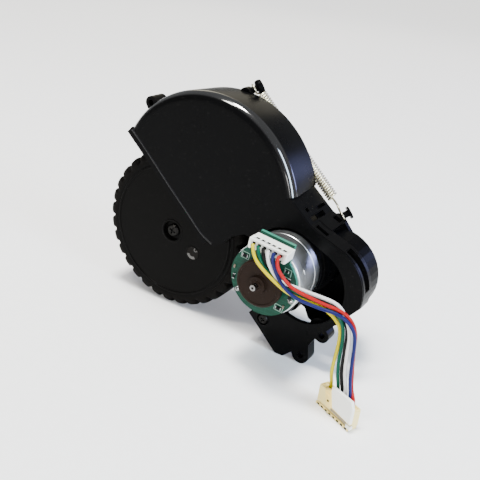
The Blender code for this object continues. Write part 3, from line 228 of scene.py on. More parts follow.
# Camera of the photograph
CAMERA_AT = Vector((160.5, -238.0, 127.8))
CAMERA_RIGHT = Vector((0.8511, 0.5105, 0.1226))
CAMERA_BACK = Vector((0.4266, -0.8085, 0.4054))
FOCAL_PIXELS = 734.0
PICTURE_PIXELS = 480.0
SENSOR_WIDTH = 36.0

# Lamps round the middle of the module: name, way from the middle in metres, size, power and colour
LAMPS = (
    ("top_strip", (-0.13, -0.17, 0.82), (0.14, 0.45), 9.0, (1.0, 0.97, 0.90)),
    ("right_box", (0.72, -0.16, 0.34), (0.20, 0.62), 9.0, (0.66, 0.82, 1.0)),
    ("back_left_panel", (-0.46, 0.95, 0.50), (0.8, 0.4), 1.8, (1.0, 0.91, 0.68)),
    ("back_right_panel", (0.62, 0.90, 0.20), (0.5, 0.28), 4.6, (0.42, 0.47, 1.0)),
    ("front_box", (0.50, -0.75, 0.14), (0.5, 0.26), 9.0, (1.0, 0.99, 0.97)),
)
LAMPS_MIDDLE = Vector((25.0, 0.0, 10.0))
SUN_POWER = 5.2
SUN_WAY = Vector((0.08, 0.06, -1.0))
SUN_ANGLE = math.radians(14.0)
ROOM_LIGHT = 0.42
FLOOR_REACH = 6.0


def at(point):
    """A point in the wheel's millimetres, in the frame's metres."""
    return (point + WHEEL_AT) * MM


def in_space(flat, y):
    """A flat point at a depth."""
    return Vector((flat.x, y, flat.y))


def around(centre, radius, angle):
    """The flat point at an angle and a radius from a centre."""
    return Vector((centre.x + radius * math.cos(angle), centre.y + radius * math.sin(angle)))


# Node trees

COLOUR = "NodeSocketColor"
NUMBER = "NodeSocketFloat"
SPACE = "NodeSocketVector"
SKIN_OUTPUTS = (("Colour", COLOUR), ("Roughness", NUMBER), ("Height", NUMBER))

# Sockets for colours on a Mix node
MIX_A, MIX_B, MIX_OUT = 6, 7, 2


def add_node(tree, kind, values=(), **options):
    """Adds a node. values are for its sockets, and options for its other settings."""
    made = tree.nodes.new(kind)
    for name, value in options.items():
        setattr(made, name, value)
    for name, value in dict(values).items():
        made.inputs[name].default_value = value
    return made


def join(tree, *links):
    """Links nodes. Each link is (node, its output, next node, its input)."""
    for source, output, target, entry in links:
        tree.links.new(source.outputs[output], target.inputs[entry])


def new_group(name, inputs, outputs):
    """An empty shader group with its sockets. inputs are (name, kind, value), and outputs (name, kind)."""
    tree = bpy.data.node_groups.new(name, "ShaderNodeTree")
    for label, kind, value in inputs:
        socket = tree.interface.new_socket(label, in_out="INPUT", socket_type=kind)
        socket.default_value = value
    for label, kind in outputs:
        tree.interface.new_socket(label, in_out="OUTPUT", socket_type=kind)
    source = tree.nodes.new("NodeGroupInput")
    target = tree.nodes.new("NodeGroupOutput")
    return tree, source, target


def vary_roughness(tree, source, noise):
    """Node whose output is the group's roughness, varied with a noise by the group's spread."""
    centred = add_node(tree, "ShaderNodeMath", {1: 0.5}, operation="SUBTRACT")
    spread = add_node(tree, "ShaderNodeMath", operation="MULTIPLY_ADD")
    join(
        tree,
        (noise, "Fac", centred, 0),
        (centred, 0, spread, 0),
        (source, "Roughness Spread", spread, 1),
        (source, "Roughness", spread, 2),
    )
    return spread


def moulded_skin():
    """Skin of a moulded part: slow clouds in tone and gloss, a fine grain, and pale dust specks."""
    tree, source, target = new_group(
        "moulded_skin",
        (
            ("Colour", COLOUR, (0.02, 0.02, 0.02, 1.0)),
            ("Second Colour", COLOUR, (0.03, 0.03, 0.03, 1.0)),
            ("Dust Colour", COLOUR, (0.2, 0.2, 0.19, 1.0)),
            ("Cloud Scale", NUMBER, 60.0),
            ("Grain Scale", NUMBER, 2600.0),
            ("Dust", NUMBER, 0.1),
            ("Roughness", NUMBER, 0.35),
            ("Roughness Spread", NUMBER, 0.1),
        ),
        SKIN_OUTPUTS,
    )
    place = add_node(tree, "ShaderNodeTexCoord")
    cloud = add_node(tree, "ShaderNodeTexNoise", {"Detail": 4.0, "Roughness": 0.6})
    grain = add_node(tree, "ShaderNodeTexNoise", {"Detail": 2.0, "Roughness": 0.5})
    specks = add_node(tree, "ShaderNodeTexNoise", {"Scale": 900.0, "Detail": 1.0})
    tone = add_node(tree, "ShaderNodeMix", data_type="RGBA")
    peak = add_node(tree, "ShaderNodeMapRange", {"From Min": 0.66, "From Max": 0.76})
    amount = add_node(tree, "ShaderNodeMath", operation="MULTIPLY")
    dusty = add_node(tree, "ShaderNodeMix", data_type="RGBA")
    join(
        tree,
        (place, "Object", cloud, "Vector"),
        (place, "Object", grain, "Vector"),
        (place, "Object", specks, "Vector"),
        (source, "Cloud Scale", cloud, "Scale"),
        (source, "Grain Scale", grain, "Scale"),
        (cloud, "Fac", tone, "Factor"),
        (source, "Colour", tone, MIX_A),
        (source, "Second Colour", tone, MIX_B),
        (specks, "Fac", peak, "Value"),
        (peak, "Result", amount, 0),
        (source, "Dust", amount, 1),
        (amount, 0, dusty, "Factor"),
        (tone, MIX_OUT, dusty, MIX_A),
        (source, "Dust Colour", dusty, MIX_B),
        (dusty, MIX_OUT, target, "Colour"),
        (vary_roughness(tree, source, cloud), 0, target, "Roughness"),
        (grain, "Fac", target, "Height"),
    )
    return tree


def drawn_skin():
    """Skin of drawn or turned metal: streaks along one way, and a few dull blotches."""
    tree, source, target = new_group(
        "drawn_skin",
        (
            ("Colour", COLOUR, (0.6, 0.6, 0.6, 1.0)),
            ("Second Colour", COLOUR, (0.5, 0.5, 0.5, 1.0)),
            ("Stretch", SPACE, (1.0, 1.0, 1.0)),
            ("Streak Scale", NUMBER, 900.0),
            ("Roughness", NUMBER, 0.3),
            ("Roughness Spread", NUMBER, 0.15),
        ),
        SKIN_OUTPUTS,
    )
    place = add_node(tree, "ShaderNodeTexCoord")
    stretch = add_node(tree, "ShaderNodeVectorMath", operation="MULTIPLY")
    streaks = add_node(tree, "ShaderNodeTexNoise", {"Detail": 3.0, "Roughness": 0.6})
    blotch = add_node(tree, "ShaderNodeTexNoise", {"Scale": 140.0, "Detail": 3.0})
    tone = add_node(tree, "ShaderNodeMix", data_type="RGBA")
    join(
        tree,
        (place, "Object", stretch, 0),
        (source, "Stretch", stretch, 1),
        (stretch, 0, streaks, "Vector"),
        (source, "Streak Scale", streaks, "Scale"),
        (place, "Object", blotch, "Vector"),
        (blotch, "Fac", tone, "Factor"),
        (source, "Colour", tone, MIX_A),
        (source, "Second Colour", tone, MIX_B),
        (tone, MIX_OUT, target, "Colour"),
        (vary_roughness(tree, source, streaks), 0, target, "Roughness"),
        (streaks, "Fac", target, "Height"),
    )
    return tree


def band_mask():
    """Mask that is one past a radius about the y axis and short of a depth, with soft edges."""
    tree, source, target = new_group(
        "band_mask",
        (
            ("Centre", SPACE, (0.0, 0.0, 0.0)),
            ("Radius", NUMBER, 0.0),
            ("Depth", NUMBER, 0.005),
            ("Softness", NUMBER, 0.001),
            ("Strength", NUMBER, 1.0),
        ),
        (("Mask", NUMBER),),
    )
    place = add_node(tree, "ShaderNodeTexCoord")
    shift = add_node(tree, "ShaderNodeVectorMath", operation="SUBTRACT")
    flat = add_node(tree, "ShaderNodeVectorMath", {1: (1.0, 0.0, 1.0)}, operation="MULTIPLY")
    reach = add_node(tree, "ShaderNodeVectorMath", operation="LENGTH")
    split = add_node(tree, "ShaderNodeSeparateXYZ")
    join(
        tree,
        (place, "Object", shift, 0),
        (source, "Centre", shift, 1),
        (shift, 0, flat, 0),
        (flat, 0, reach, 0),
        (shift, 0, split, 0),
    )
    product, label = source, "Strength"
    for greater, lesser in (((reach, "Value"), (source, "Radius")), ((source, "Depth"), (split, "Y"))):
        side = add_node(tree, "ShaderNodeMath", operation="SUBTRACT")
        edge = add_node(tree, "ShaderNodeMath", operation="DIVIDE", use_clamp=True)
        both = add_node(tree, "ShaderNodeMath", operation="MULTIPLY")
        join(
            tree,
            (*greater, side, 0),
            (*lesser, side, 1),
            (side, 0, edge, 0),
            (source, "Softness", edge, 1),
            (product, label, both, 0),
            (edge, 0, both, 1),
        )
        product, label = both, 0
    join(tree, (product, label, target, "Mask"))
    return tree


GROUP_MAKERS = {"moulded": moulded_skin, "drawn": drawn_skin, "band": band_mask}
GROUPS = {}


def group_of(kind):
    """Node group of a kind, made when a material first asks for it."""
    if kind not in GROUPS:
        GROUPS[kind] = GROUP_MAKERS[kind]()
    return GROUPS[kind]


# Materials

FAINT = 0.03
DUST_COLOUR = (0.16, 0.155, 0.15, 1.0)
BOARD_GREEN = (0.0009, 0.023, 0.013)
TRACK_GREEN = (0.0022, 0.042, 0.025, 1.0)
CORE_GREEN = (0.03, 0.15, 0.105, 1.0)


def shade(colour, factor):
    """A colour made lighter or darker, with its alpha."""
    return tuple(min(c * factor, 1.0) for c in colour[:3]) + (1.0,)


def dressed(name, kind, values, bump, depth, constants):
    """Material whose colour, roughness and bump come from a skin. constants go on the shader."""
    made = bpy.data.materials.new(name)
    made.use_nodes = True
    tree = made.node_tree
    shader = tree.nodes["Principled BSDF"]
    surface = add_node(tree, "ShaderNodeGroup", node_tree=group_of(kind))
    for label, value in values.items():
        surface.inputs[label].default_value = value
    relief = add_node(tree, "ShaderNodeBump", {"Strength": bump, "Distance": depth * MM})
    join(
        tree,
        (surface, "Colour", shader, "Base Color"),
        (surface, "Roughness", shader, "Roughness"),
        (surface, "Height", relief, "Height"),
        (relief, "Normal", shader, "Normal"),
    )
    for label, value in constants.items():
        shader.inputs[label].default_value = value
    made.diffuse_color = values["Colour"]
    return made


def plastic(name, colour, roughness, spread=0.1, dust=0.05, bump=0.12, vary=1.35, level=0.5):
    """Material of a moulded part. vary is its second tone, and level its specular level."""
    values = {
        "Colour": shade(colour, 1.0),
        "Second Colour": shade(colour, vary),
        "Dust Colour": DUST_COLOUR,
        "Dust": dust,
        "Roughness": roughness,
        "Roughness Spread": spread,
    }
    return dressed(name, "moulded", values, bump, 0.02, {"Specular IOR Level": level})


def metal(name, colour, roughness, stretch=(1.0, 1.0, 1.0), scale=900.0, bump=0.1, vary=0.8):
    """Material of a drawn or turned part. stretch scales the space that its streaks are drawn in."""
    values = {
        "Colour": shade(colour, 1.0),
        "Second Colour": shade(colour, vary),
        "Stretch": stretch,
        "Streak Scale": scale,
        "Roughness": roughness,
        "Roughness Spread": 0.14,
    }
    return dressed(name, "drawn", values, bump, 0.01, {"Metallic": 1.0})


def add_band(tree, centre, radius, depth, softness):
    """Adds a band mask about a point, with its sizes in millimetres."""
    made = add_node(tree, "ShaderNodeGroup", node_tree=group_of("band"))
    made.inputs["Centre"].default_value = at(centre)
    made.inputs["Radius"].default_value = radius * MM
    made.inputs["Depth"].default_value = depth * MM
    made.inputs["Softness"].default_value = softness * MM
    return made


def board_mask():
    """Solder mask over copper tracks, with the pale core showing at the board's cut sides."""
    made = plastic("board_green_mask", BOARD_GREEN, 0.34, dust=0.02, level=0.12)
    tree = made.node_tree
    shader = tree.nodes["Principled BSDF"]
    surface = next(n for n in tree.nodes if n.type == "GROUP")
    place = add_node(tree, "ShaderNodeTexCoord")
    turn = add_node(tree, "ShaderNodeMapping", {"Rotation": (math.radians(90.0), 0.0, 0.0)})
    tracks = add_node(
        tree,
        "ShaderNodeTexBrick",
        {"Scale": 300.0, "Mortar Size": 0.035, "Bias": 0.0, "Brick Width": 1.7, "Row Height": 0.55},
        offset=0.37,
        squash=1.6,
        squash_frequency=3,
    )
    lighter = add_node(tree, "ShaderNodeMix", {MIX_B: TRACK_GREEN}, data_type="RGBA")
    face = add_band(tree, in_space(MOTOR_AT, BOARD_NEAR), -1.0, 0.16, 0.05)
    cut_side = add_node(tree, "ShaderNodeMix", {MIX_A: CORE_GREEN}, data_type="RGBA")
    join(
        tree,
        (place, "Object", turn, "Vector"),
        (turn, "Vector", tracks, "Vector"),
        (tracks, "Fac", lighter, "Factor"),
        (surface, "Colour", lighter, MIX_A),
        (face, "Mask", cut_side, "Factor"),
        (lighter, MIX_OUT, cut_side, MIX_B),
        (cut_side, MIX_OUT, shader, "Base Color"),
    )
    return made


def wire_skin(name):
    """Coloured plastic of one wire's sleeve."""
    colour = getattr(settings(), f"{name}_wire")
    return plastic(f"wire_{name}_sleeve", colour, 0.36, dust=0.02, bump=0.08, vary=0.86, level=0.10)


def housing_skin(name="housing_black_gloss"):
    """Glossy black plastic of the housing."""
    look = settings()
    return plastic(name, look.housing_colour, look.housing_gloss, 0.08, 0.02, 0.06, level=FAINT)


def fender_skin():
    """Black plastic of the housing, polished on the outer half of the fender's round corner."""
    made = housing_skin("fender_black_polish")
    shader = made.node_tree.nodes["Principled BSDF"]
    polish_r = FENDER_R - FENDER_POLISH
    corner = add_band(made.node_tree, in_space(FENDER_AT, 0.0), polish_r, FENDER_CORNER, 0.6)
    join(made.node_tree, (corner, "Mask", shader, "Coat Weight"))
    shader.inputs["Coat Roughness"].default_value = 0.08
    shader.inputs["Coat IOR"].default_value = 2.0
    return made


# Plastics: material, colour, roughness and its spread, dust, bump, second tone and specular level
PLASTICS = {
    "bead": ("bead_black_gloss", (0.004, 0.004, 0.0045), 0.3, 0.06, 0.0, 0.04, 1.35, 0.2),
    "arm": ("arm_black_gloss", (0.0014, 0.0014, 0.0016), 0.26, 0.12, 0.01, 0.10, 1.35, 0.01),
    "hub": ("hub_black_satin", (0.0013, 0.0012, 0.0011), 0.36, 0.10, 0.01, 0.14, 1.35, FAINT),
    "tyre": ("tyre_rubber_skin", (0.0019, 0.0016, 0.0014), 0.52, 0.14, 0.02, 0.4, 1.35, FAINT),
    "ferrite": ("ferrite_grey", (0.02, 0.02, 0.022), 0.6, 0.1, 0.05, 0.3),
    "encoder": ("encoder_bonded_magnet", (0.0100, 0.0064, 0.0048), 0.42, 0.14, 0.06, 0.4, 1.35, FAINT),
    "gear": ("gear_acetal", (0.50, 0.48, 0.43), 0.42, 0.08, 0.0, 0.1, 0.95),
    "white": ("plug_white_nylon", (0.74, 0.74, 0.69), 0.42, 0.08, 0.03, 0.2, 0.93),
    "latch": ("plug_latch_nylon", (0.80, 0.60, 0.16), 0.42, 0.08, 0.02, 0.2, 0.95),
    "cream": ("plug_cream_nylon", (0.76, 0.62, 0.24), 0.42, 0.08, 0.03, 0.2, 0.95),
    # slot: painted shade, a darkened copy of the cream nylon laid in the far plug's slot
    "slot": ("slot_shaded_nylon", (0.20, 0.16, 0.09), 0.5, 0.08, 0.0, 0.2, 0.9),
    "ink": ("board_ink", (0.12, 0.22, 0.17), 0.5, 0.05, 0.0, 0.05, 0.9),
    "chip": ("chip_black_epoxy", (0.005, 0.005, 0.0055), 0.45, 0.1, 0.02, 0.2, 1.35, FAINT),
    "ceramic": ("chip_ceramic_tan", (0.075, 0.055, 0.036), 0.5, 0.1, 0.0, 0.2),
    # socket: painted shade, a dark matte laid in the plugs' cavities and channels, the dowel's pocket and
    # the shaft's centre hole
    "socket": ("socket_shadow", (0.006, 0.0055, 0.005), 0.7, 0.1, 0.0, 0.2, 1.35, FAINT),
}

# Metals: material, colour, roughness, and then stretch, scale, bump and second tone where they differ
METALS = {
    "can": ("can_zinc_plate", (0.58, 0.60, 0.61), 0.32, (1.0, 0.06, 1.0), 1400.0),
    # cap: a lighter copy of the can's zinc, a painted highlight on the can's rolled rear edge
    "cap": ("cap_zinc_plate", (0.80, 0.82, 0.83), 0.42, (1.0, 0.06, 1.0), 1400.0),
    "screw": ("screw_zinc", (0.22, 0.22, 0.22), 0.30),
    "facet": ("dowel_burnished", (0.085, 0.083, 0.08), 0.32),
    "dark_screw": ("screw_black_oxide", (0.012, 0.0115, 0.011), 0.34),
    "spring": ("spring_wire_bright", (0.66, 0.62, 0.47), 0.34, (1.0, 1.0, 1.0), 900.0, 0.1, 0.7),
    "shaft": ("shaft_ground", (0.20, 0.195, 0.19), 0.26, (1.0, 0.1, 1.0), 1800.0),
    "bronze": ("bush_bronze", (0.36, 0.23, 0.10), 0.42),
    "copper": ("winding_copper", (0.50, 0.20, 0.09), 0.32, (1.0, 0.05, 1.0), 1200.0, 0.4),
    "tin": ("contact_tin", (0.20, 0.196, 0.186), 0.28),
    "solder": ("solder_bright", (0.26, 0.27, 0.27), 0.26, (1.0, 1.0, 1.0), 900.0, 0.1, 0.85),
}
OWN_FINISHES = {"housing": housing_skin, "fender": fender_skin, "board": board_mask}
FINISHES = {}


def make_finish(name):
    """Makes the material of a finish. What no table lists is a wire's."""
    if name in PLASTICS:
        return plastic(*PLASTICS[name])
    if name in METALS:
        return metal(*METALS[name])
    if name in OWN_FINISHES:
        return OWN_FINISHES[name]()
    return wire_skin(name.removeprefix("wire_"))


def finish_of(name):
    """Material of a finish, made when a piece first asks for it."""
    if name not in FINISHES:
        FINISHES[name] = make_finish(name)
    return FINISHES[name]


# Shapes

def link_piece(name, shape, material, body, bevel=0.0, smooth=35.0, bevel_steps=2):
    """Turns a mesh in the wheel's millimetres into a piece that rides on its body, if it has one."""
    bmesh.ops.remove_doubles(shape, verts=shape.verts, dist=1e-5)
    bmesh.ops.recalc_face_normals(shape, faces=shape.faces)
    mesh = bpy.data.meshes.new(name)
    shape.to_mesh(mesh)
    shape.free()
    mesh.transform(Matrix.Translation(WHEEL_AT * MM) @ Matrix.Scale(MM, 4))
    mesh.materials.append(finish_of(material))
    mesh.shade_smooth()
    mesh.set_sharp_from_angle(angle=math.radians(smooth))
    made = bpy.data.objects.new(name, mesh)
    bpy.context.scene.collection.objects.link(made)
    if bevel:
        soften(made, bevel, bevel_steps)
    if body is not None:
        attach(made, body)
    return made


def soften(thing, width, steps=2, angle=35.0):
    """Rounds the sharp edges of a piece."""
    edge = thing.modifiers.new("edge", "BEVEL")
    edge.width = width * MM
    edge.segments = steps
    edge.limit_method = "ANGLE"
    edge.angle_limit = math.radians(angle)
    edge.harden_normals = True


def bridge(shape, low, high):
    """Joins two rings with faces."""
    for i in range(len(low)):
        j = (i + 1) % len(low)
        shape.faces.new((low[i], high[i], high[j], low[j]))


def add_stack(shape, rings, closed=False):
    """Adds a solid through rings of points in space. A closed one joins its last ring to its first."""
    made = [[shape.verts.new(p) for p in ring] for ring in rings]
    for low, high in zip(made, made[1:]):
        bridge(shape, low, high)
    if closed:
        bridge(shape, made[-1], made[0])
    else:
        shape.faces.new(made[0])
        shape.faces.new(reversed(made[-1]))


def add_prism(shape, outline, near, far):
    """Adds a plate from an outline of flat points, between two depths."""
    add_stack(shape, [[in_space(p, y) for p in outline] for y in (near, far)])


def add_lathe(shape, profile, centre, steps=40):
    """Adds a ring or a solid turned about the y axis. profile is (radius, y), from the inside round."""
    angles = [math.tau * i / steps for i in range(steps)]
    rings = [[in_space(around(centre, radius, angle), y) for angle in angles] for radius, y in profile]
    add_stack(shape, rings, closed=profile[0][0] > 0)


def turned_piece(name, profile, centre, steps, material, body, smooth=35.0):
    """Makes a piece that is one turned ring or solid."""
    shape = bmesh.new()
    add_lathe(shape, profile, centre, steps)
    return link_piece(name, shape, material, body, smooth=smooth)


def add_box(shape, centre, size, turn=None):
    """Adds a box, turned about its centre."""
    place = Matrix.Translation(centre)
    if turn is not None:
        place = place @ turn.to_4x4()
    bmesh.ops.create_cube(shape, size=1.0, matrix=place @ Matrix.Diagonal((*size, 1.0)))


def add_sweep(shape, points, radius, sides=10):
    """Adds a round wire along points in space, with a frame that doesn't twist."""
    side = None
    rings = []
    for i, point in enumerate(points):
        ahead = points[min(i + 1, len(points) - 1)]
        behind = points[max(i - 1, 0)]
        tangent = (ahead - behind).normalized()
        if side is None:
            side = tangent.orthogonal()
        side = (side - tangent * side.dot(tangent)).normalized()
        other = tangent.cross(side)
        angles = [math.tau * k / sides for k in range(sides)]
        rings.append([point + (side * math.cos(a) + other * math.sin(a)) * radius for a in angles])
    add_stack(shape, rings)


def curve_through(points, steps=16):
    """Close points along a smooth curve through the points given."""
    padded = [points[0] * 2 - points[1]] + list(points) + [points[-1] * 2 - points[-2]]
    fine = []
    for a, b, c, d in zip(padded, padded[1:], padded[2:], padded[3:]):
        for i in range(steps):
            t = i / steps
            bend = (2 * a - 5 * b + 4 * c - d) * t ** 2 + (3 * b - a - 3 * c + d) * t ** 3
            fine.append(0.5 * ((2 * b) + (c - a) * t + bend))
    fine.append(points[-1])
    return fine


def smooth_route(points, spacing, eased=0):
    """Even points along a smooth curve, with its bends eased so many times."""
    fine = curve_through(points)
    lengths = [0.0]
    for p, q in zip(fine, fine[1:]):
        lengths.append(lengths[-1] + (q - p).length)
    count = max(int(lengths[-1] / spacing), 4)
    even = []
    k = 0
    for i in range(count + 1):
        want = lengths[-1] * i / count
        while k < len(lengths) - 2 and lengths[k + 1] < want:
            k += 1
        even.append(fine[k].lerp(fine[k + 1], (want - lengths[k]) / (lengths[k + 1] - lengths[k])))
    for _ in range(eased):
        inner = [b / 2 + (a + c) / 4 for a, b, c in zip(even, even[1:], even[2:])]
        even = [even[0]] + inner + [even[-1]]
    return even


def bake_modifiers(thing):
    """Keeps the mesh that a piece's modifiers make, so that its cutters can go."""
    bpy.context.view_layer.update()
    graph = bpy.context.evaluated_depsgraph_get()
    mesh = bpy.data.meshes.new_from_object(thing.evaluated_get(graph))
    thing.modifiers.clear()
    thing.data = mesh


# Lead

def build_lead():
    """Six sleeved wires, from the plug on the board, which rides with the arm, to the far plug."""
    thickness = settings().wire_thickness
    for colour, points in LEAD_ROUTES.items():
        route = smooth_route([Vector(point) for point in points], ROUTE_STEP, ROUTE_EASE)
        shape = bmesh.new()
        add_sweep(shape, route, thickness / 2 / MM, 14)
        name = f"wire_{colour}"
        piece = link_piece(f"{name}_sleeve", shape, name, None, smooth=60.0)
        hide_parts(name)
        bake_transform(piece)


# Far plug

def end_point(along, back, up):
    """A point of the far plug: along its row, back from its middle, and up from its foot."""
    return END_AT + END_BACK * (END_THICK / 2 + back) + END_ROW * along + UP * up


def add_end_box(shape, along, back, up, size):
    """Adds a box that is turned with the far plug."""
    turn = Matrix.Rotation(math.atan2(END_ROW.y, END_ROW.x), 3, "Z")
    add_box(shape, end_point(along, back, up), size, turn)


def add_end_plate(shape, outline, near, far):
    """Adds a plate on the far plug's face, from (along, up) corners, between two depths."""
    add_stack(shape, [[end_point(along, back, up) for along, up in outline] for back in (near, far)])


def link_end_piece(part, shape, material, bevel, bevel_steps=2):
    """Links one part of the far plug. The plug lies still with the housing."""
    name = f"lead_end_plug_{part}"
    return link_piece(name, shape, material, "housing", bevel, bevel_steps=bevel_steps)


def build_end_plug():
    """Eight-way plug on the far end of the lead, with its tall plate and latch, and dark plates and boxes
    of painted shade for its slot and cavities.
    """
    walls = [(i - END_WAYS / 2) * END_PITCH for i in range(END_WAYS + 1)]
    ways = [(i - (END_WAYS - 1) / 2) * END_PITCH for i in range(END_WAYS)]
    shape = bmesh.new()
    add_end_box(shape, 0.0, -0.4, 4.7, (END_WIDTH, END_THICK - 0.8, 6.6))
    add_end_box(shape, 0.0, -0.1, 0.9, (END_WIDTH - 0.5, END_THICK - 1.8, 1.8))
    body = link_end_piece("body", shape, "cream", 0.3, bevel_steps=3)
    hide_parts("lead_end_plug")
    shape = bmesh.new()
    plate = ((-1.9, 12.2), (8.7, 12.5), (9.9, 9.6), (9.9, 3.6), (0.2, 4.2), (-1.9, 4.2))
    add_end_plate(shape, plate, END_NEAR - 0.9, END_NEAR + 0.5)
    add_end_box(shape, 8.9, END_NEAR + 0.2, 1.9, (2.4, 1.5, 1.5))
    link_end_piece("plate", shape, "white", 0.2, bevel_steps=3)
    shape = bmesh.new()
    latch = ((-5.0, 9.2), (-1.9, 10.8), (0.1, 4.1), (-2.9, 2.9))
    add_end_plate(shape, latch, END_NEAR - 1.3, END_NEAR + 0.4)
    add_end_box(shape, -3.0, END_NEAR - 1.3, 8.3, (2.0, 0.7, 1.0))
    link_end_piece("latch", shape, "latch", 0.3, bevel_steps=3)
    shape = bmesh.new()
    add_end_box(shape, -0.2, END_NEAR + 0.12, 0.55, (END_WIDTH - 0.7, 0.7, 1.1))
    for along in walls:
        add_end_box(shape, along, END_NEAR - 0.25, 0.6, (0.5, 0.5, 1.0))
    link_end_piece("nose", shape, "cream", 0.12)
    # Dark boxes of painted shade in the cavities' mouths and under the latch
    shape = bmesh.new()
    for along in ways:
        add_end_box(shape, along, END_NEAR - 0.3, 0.55, (0.9, 0.3, 0.6))
    add_end_box(shape, -2.2, END_NEAR - 1.32, 5.9, (0.9, 0.2, 0.8))
    link_end_piece("sockets", shape, "socket", 0.06)
    # Dark plate of painted shade in the slot
    shape = bmesh.new()
    slot = ((-1.3, 2.95), (7.4, 2.75), (7.2, 1.6), (-1.6, 1.9))
    add_end_plate(shape, slot, END_NEAR - 0.08, END_NEAR + 0.3)
    link_end_piece("slot", shape, "slot", 0.05)
    shape = bmesh.new()
    for along in walls:
        add_end_box(shape, along, -0.4, 8.2, (0.34, END_THICK - 1.4, 0.7))
    for back in (END_NEAR + 0.35, -END_NEAR - 1.15):
        add_end_box(shape, 0.0, back, 8.1, (END_WIDTH - 0.5, 0.7, 0.7))
    link_end_piece("collar", shape, "cream", 0.1)


# Board and plug

def board_point(x, z, y):
    """A point over the board: x and z from the motor's axis along the tilted board."""
    return in_space(MOTOR_AT + TILT_X * x + TILT_Z * z, y)


def add_board_box(shape, x, z, y, size, turn=BOARD_TURN):
    """Adds a box that is turned with the board."""
    add_box(shape, board_point(x, z, y), size, turn)


def link_board_piece(name, shape, material, bevel=0.0, smooth=35.0):
    """Links a piece that swings with the board."""
    return link_piece(name, shape, material, "swing_arm", bevel, smooth)


def build_board_plug():
    """White plug in its header, with six windows and six wire channels cut in it, and dark boxes of painted
    shade inside them.
    """
    ways = [PLUG_CENTRE + (i - (PLUG_WAYS - 1) / 2) * PLUG_PITCH - PLUG_SKEW for i in range(PLUG_WAYS)]
    left, right = PLUG_CENTRE - PLUG_WIDTH / 2, PLUG_CENTRE + PLUG_WIDTH / 2
    low, high, foot = PLUG_LOW, PLUG_HIGH, PLUG_LOW + 0.5
    outline = [(left, high), (right, high), (right, foot)]
    outline += [(right - 0.5, low), (left + 0.5, low), (left, foot)]
    window_x, window_y = 0.5, PLUG_NEAR + 2.1
    shape = bmesh.new()
    add_stack(shape, [[board_point(x, z, y) for x, z in outline] for y in (PLUG_NEAR, PLUG_FAR)])
    plug = link_board_piece("motor_plug_body", shape, "white", 0.22)
    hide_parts("motor_plug")
    shape = bmesh.new()
    for x in ways:
        add_board_box(shape, x, low + 1.4, PLUG_NEAR, (1.9, 3.7, 3.7))
        add_board_box(shape, x + window_x, high, window_y, (1.45, 1.5, 1.6))
    cutter = link_piece("channel_cutter", shape, "white", None)
    cut = plug.modifiers.new("channels", "BOOLEAN")
    cut.operation = "DIFFERENCE"
    cut.solver = "EXACT"
    cut.object = cutter
    bake_modifiers(plug)
    bpy.data.objects.remove(cutter, do_unlink=True)
    # Dark boxes of painted shade inside the channels and windows
    shape = bmesh.new()
    for x in ways:
        add_board_box(shape, x, low + 2.3, PLUG_NEAR + 1.7, (1.86, 0.5, 1.8))
        add_board_box(shape, x + window_x, high - 0.3, window_y, (1.5, 1.55, 0.3))
    link_board_piece("motor_plug_contacts", shape, "socket", 0.06)
    shape = bmesh.new()
    middle = (PLUG_FAR + BOARD_NEAR) / 2
    deep = BOARD_NEAR - PLUG_FAR
    add_board_box(shape, PLUG_CENTRE, PLUG_MIDDLE, middle - 0.35, (14.6, deep + 0.5, 3.9))
    for side in (-1, 1):
        add_board_box(shape, PLUG_CENTRE + side * 7.4, PLUG_MIDDLE, middle - 0.55, (0.7, deep + 0.9, 4.0))
    header = link_board_piece("board_header_shroud", shape, "white", 0.15)
    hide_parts("board_header")
    shape = bmesh.new()
    for x in ways:
        add_board_box(shape, x, 12.5, BOARD_NEAR - 0.3, (0.6, 0.5, 2.2))
    link_board_piece("board_header_feet", shape, "tin", 0.08)


# Small parts on the board, at x and z from the motor's axis: chips and outlines with width and height
CHIPS = (
    (-9.5, 6.6, 1.7, 1.1), (-12.0, -3.6, 0.8, 1.5), (8.2, 8.2, 1.1, 0.9),
    (11.9, -1.2, 1.0, 1.7), (8.8, -7.4, 1.7, 1.0), (10.0, 5.0, 1.0, 1.6),
)
CAPACITORS = ((-6.6, 8.9), (6.0, 11.2), (10.6, -6.0), (-12.6, 0.4))
CHIP_OUTLINES = ((-9.5, 6.6, 3.3, 2.5), (8.5, 7.5, 2.8, 3.4), (8.8, -7.4, 3.4, 2.4))
MOTOR_TABS = ((12.6, -2.6), (-9.4, -8.2))


